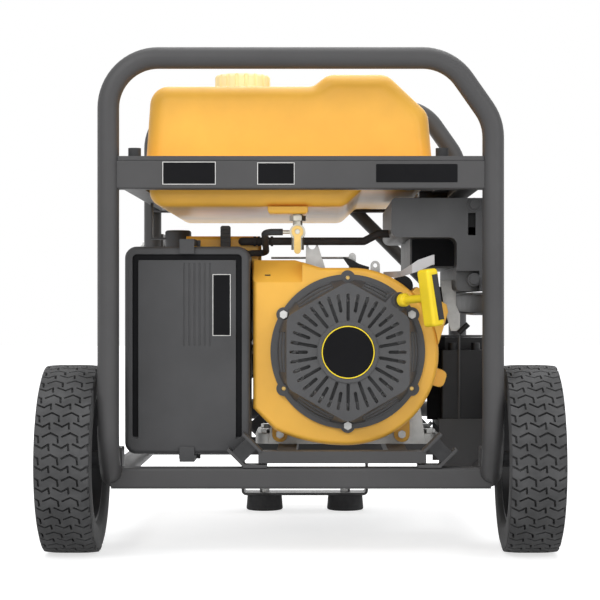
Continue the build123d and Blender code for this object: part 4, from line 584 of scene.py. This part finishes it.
def foam_grip():
    """Sleeve with rounded ends and shallow rings."""
    low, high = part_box("handle_grip")
    middle = (low + high) / 2
    outer = (high.z - low.z) / 2
    section = [
        (low.x, GRIP_BORE),
        (low.x, outer - GRIP_ROUND),
        (low.x + GRIP_ROUND_IN, outer - GRIP_ROUND_DOWN),
        (low.x + GRIP_ROUND, outer),
    ]
    span = high.x - low.x - 2 * GRIP_ROUND
    for n in range(1, GRIP_STEPS):
        dip = RING_DEPTH if n % RING_STEPS == 0 else 0.0
        section.append((low.x + GRIP_ROUND + span * n / GRIP_STEPS, outer - dip))
    section += [
        (high.x - GRIP_ROUND, outer),
        (high.x - GRIP_ROUND_IN, outer - GRIP_ROUND_DOWN),
        (high.x, outer - GRIP_ROUND),
        (high.x, GRIP_BORE),
    ]
    rows = []
    for t in round_turn(GRIP_FACETS):
        rows.append([(x, middle.y + r * math.cos(t), middle.z + r * math.sin(t)) for x, r in section])
    sleeve = grid_mesh("foam_sleeve", rows, close_rows=True)
    made = piece("foam_sleeve", sleeve, rubber, "rear_handle")
    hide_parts("handle_grip")


foam_grip()


# Starter's pull: the mouth in the recoil cover, and the line on which the handle leaves it
PULL_SWING = math.radians(38)
PULL_RISE = math.radians(3)
MOUTH_CIRCLE = 0.0985
MOUTH_ANGLE = math.radians(45)
MOUTH_DEPTH = 0.044
PULL_LINE = Vector((
    math.sin(PULL_SWING) * math.cos(PULL_RISE),
    -math.cos(PULL_SWING) * math.cos(PULL_RISE),
    math.sin(PULL_RISE),
))
PULL_MOUTH = Vector((
    CRANK.x + MOUTH_CIRCLE * math.cos(MOUTH_ANGLE),
    FRONT + MOUTH_DEPTH,
    CRANK.z + MOUTH_CIRCLE * math.sin(MOUTH_ANGLE),
))

# Starter rope, from inside the cover to the handle's stem
ROPE_INSIDE = 0.0195
ROPE_IN_STEM = 0.0009
ROPE_R = 0.00215
STRAND_RELIEF = 0.00025
STRANDS = 4
STRAND_TURN = 0.6
ROPE_STEPS = 120
ROPE_FACETS = 16


def braided_rope():
    """Twisted rope from inside the cover to the handle's stem."""
    side = PULL_LINE.orthogonal().normalized()
    up = PULL_LINE.cross(side)
    start = PULL_MOUTH - PULL_LINE * ROPE_INSIDE
    end = PULL_MOUTH + PULL_LINE * ROPE_IN_STEM
    rows = []
    for i in range(ROPE_STEPS + 1):
        along = start.lerp(end, i / ROPE_STEPS)
        row = []
        for angle in round_turn(ROPE_FACETS):
            radius = ROPE_R + STRAND_RELIEF * math.sin(STRANDS * angle + i * STRAND_TURN)
            row.append(along + side * (radius * math.cos(angle)) + up * (radius * math.sin(angle)))
        rows.append(row)
    made = piece("braided_rope", grid_mesh("braided_rope", rows, caps=True), rubber, body=None)
    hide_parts("starter_rope")
    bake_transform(made)


braided_rope()


# Shapes of the small trim, all of it fixed to the frame
BEVEL_STEPS = 4
PARALLEL = 0.99
PLATE_SUNK = 0.0004
ROD_FACETS = 12
CAP_FACETS = 24
RING_FACETS = 72


def bar(name, low, high, look, round_by=0.0, axis=None):
    """Box between two corners, its edges rounded, or only those along one axis."""
    bm = bmesh.new()
    bmesh.ops.create_cube(bm, size=1.0)
    low, high = Vector(low), Vector(high)
    for v in bm.verts:
        v.co = Vector(tuple(low[i] + (high[i] - low[i]) * (v.co[i] + 0.5) for i in range(3)))
    if round_by:
        edges = bm.edges[:]
        if axis is not None:
            edges = [e for e in edges if abs((e.verts[0].co - e.verts[1].co).normalized()[axis]) > PARALLEL]
        bmesh.ops.bevel(bm, geom=edges, offset=round_by, segments=BEVEL_STEPS, profile=0.5, affect="EDGES")
    return piece(name, finished(name, bm), look)


def plate(name, xs, zs, face, proud, look, sunk=PLATE_SUNK, corner=0.0):
    """Thin plate on a front face, let in a little and standing proud of it."""
    return bar(
        name, (xs[0], face - proud, zs[0]), (xs[1], face + sunk, zs[1]),
        look, round_by=corner, axis=1,
    )


def rod(name, start, end, radius, look, facets=ROD_FACETS):
    """Straight round rod between two points."""
    start, end = Vector(start), Vector(end)
    along = (end - start).normalized()
    side = along.orthogonal().normalized()
    up = along.cross(side)
    spokes = [(side * math.cos(t) + up * math.sin(t)) * radius for t in round_turn(facets)]
    rows = [[at + spoke for spoke in spokes] for at in (start, end)]
    return piece(name, grid_mesh(name, rows, caps=True), look)


def strip(name, edges, thick, look):
    """Flat strip between pairs of points (X, depth behind the front hoop, Z), as thick as given."""
    back = Vector((0, thick, 0))
    rows = []
    for pair in edges:
        top, bottom = (Vector((x, FRONT + depth, z)) for x, depth, z in pair)
        rows.append([top, bottom, bottom + back, top + back])
    return piece(name, grid_mesh(name, rows, smooth=False, caps=True), look)


def flat_ring(name, centre, inner, outer, thick, look):
    """Flat ring that faces the front."""
    back = Vector((0, thick, 0))
    rows = []
    for t in round_turn(RING_FACETS):
        out = Vector((math.cos(t), 0, math.sin(t)))
        near, far = centre + out * inner, centre + out * outer
        rows.append([near + back, near, far, far + back])
    return piece(name, grid_mesh(name, rows, close_rows=True, smooth=False), look)


# Bare label places on the tank channel and on the air box
CHANNEL_FACE = FRONT - 0.008
AIR_FACE = FRONT + 0.066
LABEL_PROUD = 0.0004
LABEL_CORNER = 0.0012
BORDER = 0.0009
BORDER_PROUD = 0.0006


def label_place(name, xs, zs, face, border=0.0):
    """Bare dark plate on a front face, with a pale border of the given width."""
    plate(name, xs, zs, face, LABEL_PROUD, matt_black, corner=LABEL_CORNER)
    if not border:
        return
    inner_xs = (xs[0] + border, xs[1] - border)
    inner_zs = (zs[0] + border, zs[1] - border)
    sides = {
        "left": ((xs[0], inner_xs[0]), zs),
        "right": ((inner_xs[1], xs[1]), zs),
        "low": (inner_xs, (zs[0], inner_zs[0])),
        "high": (inner_xs, (inner_zs[1], zs[1])),
    }
    for side, (side_xs, side_zs) in sides.items():
        plate(name + "_" + side, side_xs, side_zs, face, BORDER_PROUD, white_plastic)


label_place("plate_left", xs=(-0.1815, -0.1115), zs=(0.4935, 0.5235), face=CHANNEL_FACE, border=BORDER)
label_place("plate_middle", xs=(-0.0570, -0.0080), zs=(0.4935, 0.5225), face=CHANNEL_FACE, border=BORDER)
label_place("plate_right", xs=(0.0990, 0.2060), zs=(0.4965, 0.5205), face=CHANNEL_FACE)
label_place("box_plate", xs=(-0.1200, -0.0955), zs=(0.2935, 0.3770), face=AIR_FACE, border=BORDER)

# Turned-up lip of the tank channel, and rubber caps on the tank's front bolts
LIP_HALF = 0.2405
LIP_FRONT = CHANNEL_FACE + 0.0002
LIP_BACK = CHANNEL_FACE + 0.0025
LIP_LOW, LIP_HIGH = 0.5255, 0.5311
bar(
    "channel_lip", (-LIP_HALF, LIP_FRONT, LIP_LOW), (LIP_HALF, LIP_BACK, LIP_HIGH),
    frame_paint,
)
BOLT_Y = FRONT + 0.008
BOLT_INSET = 0.0064
BOLT_CAP_R = 0.0085
BOLT_CAP_LOW, BOLT_CAP_HIGH = 0.5290, 0.5425
tank_low, tank_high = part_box("tank_upper")
for name, x in (("bolt_cap_left", tank_low.x + BOLT_INSET), ("bolt_cap_right", tank_high.x - BOLT_INSET)):
    rod(name, (x, BOLT_Y, BOLT_CAP_LOW), (x, BOLT_Y, BOLT_CAP_HIGH), BOLT_CAP_R, rubber, CAP_FACETS)

# Dark strips of painted shade in the floor of the air box's groove
GROOVE_SHADE_FLOOR = AIR_FACE + 0.003
GROOVE_SHADE_PROUD = 0.0006
GROOVE_SHADE_LEFT_XS = (-0.2283, -0.2207)
GROOVE_SHADE_RIGHT_XS = (-0.0883, -0.0807)
GROOVE_SHADE_HIGH_ZS = (0.3962, 0.4036)
GROOVE_SHADE_SIDE_ZS = (0.1570, GROOVE_SHADE_HIGH_ZS[1])
for name, xs, zs in (
    ("groove_shade_left", GROOVE_SHADE_LEFT_XS, GROOVE_SHADE_SIDE_ZS),
    ("groove_shade_right", GROOVE_SHADE_RIGHT_XS, GROOVE_SHADE_SIDE_ZS),
    ("groove_shade_high", (GROOVE_SHADE_LEFT_XS[1], GROOVE_SHADE_RIGHT_XS[0]), GROOVE_SHADE_HIGH_ZS),
):
    plate(name, xs, zs, GROOVE_SHADE_FLOOR, GROOVE_SHADE_PROUD, matt_black)

# Ring round the starter's centre plate
RING_CENTRE = Vector((CRANK.x, FRONT + 0.0398, CRANK.z))
flat_ring(
    "centre_ring", RING_CENTRE, inner=0.0340, outer=0.0355, thick=0.0006,
    look=yellow_plastic,
)

# Soft black strip in the palm side of the pull handle
PALM_TILT = math.radians(9)
PALM_AHEAD = 0.073
PALM_LONG = 0.060
PALM_WIDE = 0.009
PALM_ASIDE = 0.0030
PALM_THICK = 0.0012
PALM_SUNK = 0.0001
PALM_BEVEL = 0.0005
PALM_BEVEL_STEPS = 2


def handle_insert():
    """Thin bevelled strip across the pull, tilted as the handle is."""
    up = Vector((0, 0, 1)) - PULL_LINE * PULL_LINE.z
    up.normalize()
    left = PULL_LINE.cross(up)
    long_way = up * math.cos(PALM_TILT) + left * math.sin(PALM_TILT)
    wide_way = left * math.cos(PALM_TILT) - up * math.sin(PALM_TILT)
    palm = PULL_MOUTH + PULL_LINE * PALM_AHEAD
    bm = bmesh.new()
    bmesh.ops.create_cube(bm, size=1.0)
    for v in bm.verts:
        x, y, z = v.co
        across = long_way * (x * PALM_LONG) + wide_way * (y * PALM_WIDE - PALM_ASIDE)
        v.co = palm + across + PULL_LINE * (z * PALM_THICK - PALM_SUNK)
    bmesh.ops.bevel(
        bm, geom=bm.edges[:], offset=PALM_BEVEL, segments=PALM_BEVEL_STEPS, profile=0.5, affect="EDGES"
    )
    piece("palm_strip", finished("palm_strip", bm), rubber, "pull_handle")


handle_insert()

# Bright strap from the blower's top to the panel's set-back box
STRAP_THICK = 0.002
STRAP_FRONT = 0.040
STRAP_END_X = 0.1765
STRAP_END_ZS = (0.3895, 0.4026)
BOX_FACE = FRONT + 0.105
LET_IN = 0.0005
strip(
    "panel_strap",
    [
        ((0.1128, 0.120, 0.3808), (0.1128, 0.120, 0.3762)),
        ((0.1277, 0.090, 0.3812), (0.1277, 0.090, 0.3721)),
        ((0.1350, 0.070, 0.3813), (0.1377, 0.070, 0.3742)),
        ((0.1485, STRAP_FRONT, 0.3902), (0.1485, STRAP_FRONT, 0.3775)),
        ((0.1565, STRAP_FRONT, 0.3956), (0.1592, STRAP_FRONT, 0.3812)),
        ((STRAP_END_X, STRAP_FRONT, STRAP_END_ZS[1]), (STRAP_END_X, STRAP_FRONT, STRAP_END_ZS[0])),
    ],
    STRAP_THICK, galvanised,
)
bar(
    "strap_tab",
    (STRAP_END_X, FRONT + STRAP_FRONT, STRAP_END_ZS[0]),
    (STRAP_END_X + STRAP_THICK, BOX_FACE + LET_IN, STRAP_END_ZS[1]),
    galvanised,
)

# Dark plate of painted shadow on the front of the set-back box under the panel's shelf
BOX_SHADE_PROUD = 0.0015
plate(
    "box_cover", (0.1515, 0.2088), (0.3885, 0.4255), BOX_FACE, BOX_SHADE_PROUD, matt_black,
    sunk=LET_IN, corner=LABEL_CORNER,
)

# Grey caps over the panel's screws, and plugs in the recoil cover's open lugs
SCREW_CAP_R = 0.0064
SCREW_X = 0.232
SCREW_CAP_FRONT, SCREW_CAP_BACK = FRONT + 0.0372, FRONT + 0.0425
for name, z in (("screw_cap_high", 0.470), ("screw_cap_low", 0.369)):
    back, front = (SCREW_X, SCREW_CAP_BACK, z), (SCREW_X, SCREW_CAP_FRONT, z)
    rod(name, back, front, SCREW_CAP_R, grey_plastic, CAP_FACETS)
LUG_CIRCLE = 0.1005
PLUG_R = 0.00295
PLUG_FRONT, PLUG_BACK = FRONT + 0.0795, FRONT + 0.0860
for name, degrees in (("plug_top", 90), ("plug_left", 210), ("plug_right", 330)):
    turn = math.radians(degrees)
    x, z = CRANK.x + LUG_CIRCLE * math.cos(turn), CRANK.z + LUG_CIRCLE * math.sin(turn)
    rod(name, (x, PLUG_BACK, z), (x, PLUG_FRONT, z), PLUG_R, brass)

# Grey stay beside the starter, with its black knob
STAY = 0.150
KNOB_R = 0.0040
strip(
    "starter_stay",
    [
        ((0.1930, STAY, 0.3700), (0.2152, STAY, 0.3700)),
        ((0.1980, STAY, 0.3352), (0.2152, STAY, 0.3352)),
        ((0.2010, STAY, 0.3226), (0.2208, STAY, 0.3226)),
        ((0.2082, STAY, 0.2989), (0.2208, STAY, 0.2989)),
    ],
    STRAP_THICK, cast_alloy,
)
knob_end, knob_root = (0.2320, FRONT + STAY - 0.003, 0.3087), (0.2190, FRONT + STAY - 0.001, 0.2960)
rod("stay_knob", knob_end, knob_root, KNOB_R, black_plastic)

# Black throttle arm above the blower
ARM = 0.158
ARM_THICK = 0.003
strip(
    "throttle_arm",
    [
        ((0.0578, ARM, 0.4025), (0.0578, ARM, 0.4003)),
        ((0.0692, ARM, 0.3992), (0.0643, ARM, 0.3911)),
        ((0.0797, ARM, 0.3932), (0.0692, ARM, 0.3870)),
        ((0.0858, ARM, 0.3911), (0.0860, ARM, 0.3820)),
        ((0.0942, ARM, 0.3886), (0.0930, ARM, 0.3800)),
    ],
    ARM_THICK, black_plastic,
)

# Hold-down rod in front of the battery, and the dark cover beside it
battery_low, battery_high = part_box("battery")
ROD_R = 0.0016
ROD_X = 0.2209
ROD_Y = battery_low.y - ROD_R
ROD_LOW, ROD_HIGH = battery_low.z - 0.004, battery_high.z + 0.002
rod("battery_rod", (ROD_X, ROD_Y, ROD_LOW), (ROD_X, ROD_Y, ROD_HIGH), ROD_R, frame_paint)
COVER_FRONT = FRONT + 0.203
COVER_BEVEL = 0.0006
bar(
    "side_cover", (0.1775, COVER_FRONT, 0.1720), (0.2035, COVER_FRONT + STRAP_THICK, 0.2895),
    matt_black, COVER_BEVEL,
)

# Black bar of painted shade standing for a narrow slot in the duct's sloping top
SLOT_XS = (-0.0500, -0.0425)
SLOT_Z = 0.376
SLOT_HALF = 0.0009
SLOPE_START_Z = 0.366
slot_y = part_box("blower_housing")[0].y + SLOT_Z - SLOPE_START_Z
bar(
    "duct_slot_shade",
    (SLOT_XS[0], slot_y - SLOT_HALF, SLOT_Z - SLOT_HALF),
    (SLOT_XS[1], slot_y + SLOT_HALF, SLOT_Z + SLOT_HALF),
    black_plastic,
)

# Floor, its glow faded near the object so that the shadow stays
FLOOR_HALF = 12.0
FLOOR_DROP = 0.0005
FLOOR_GREY = (0.62, 0.62, 0.62, 1)
FADE = {"From Min": 0.55, "From Max": 1.5, "To Min": 0.66, "To Max": 1.0}


def floor_material():
    """Grey floor with a glow that is seen but gives no light to the object."""
    material = bpy.data.materials.new("floor")
    material.use_nodes = True
    tree = material.node_tree
    tree.nodes.clear()
    out = tree.nodes.new("ShaderNodeOutputMaterial")
    diffuse = tree.nodes.new("ShaderNodeBsdfDiffuse")
    diffuse.inputs["Color"].default_value = FLOOR_GREY
    place = tree.nodes.new("ShaderNodeTexCoord")
    away = tree.nodes.new("ShaderNodeVectorMath")
    away.operation = "LENGTH"
    tree.links.new(place.outputs["Object"], away.inputs[0])
    fade = tree.nodes.new("ShaderNodeMapRange")
    for socket, value in FADE.items():
        fade.inputs[socket].default_value = value
    tree.links.new(away.outputs["Value"], fade.inputs["Value"])
    amount = tree.nodes.new("ShaderNodeMath")
    amount.operation = "MULTIPLY"
    tree.links.new(seen_rays(tree), amount.inputs[0])
    tree.links.new(fade.outputs[0], amount.inputs[1])
    glow = tree.nodes.new("ShaderNodeEmission")
    tree.links.new(amount.outputs[0], glow.inputs["Strength"])
    both = tree.nodes.new("ShaderNodeAddShader")
    tree.links.new(diffuse.outputs[0], both.inputs[0])
    tree.links.new(glow.outputs[0], both.inputs[1])
    tree.links.new(both.outputs[0], out.inputs["Surface"])
    return material


def studio_floor():
    """Pale floor that stays near white for the camera and keeps a soft shadow."""
    mesh = bpy.data.meshes.new("floor")
    corners = [(x * FLOOR_HALF, y * FLOOR_HALF, 0) for x, y in ((-1, -1), (1, -1), (1, 1), (-1, 1))]
    mesh.from_pydata(corners, [], [(0, 1, 2, 3)])
    floor = bpy.data.objects.new("floor", mesh)
    floor.location.z = -FLOOR_DROP
    scene.collection.objects.link(floor)
    mesh.materials.append(floor_material())


studio_floor()

bpy.context.view_layer.update()
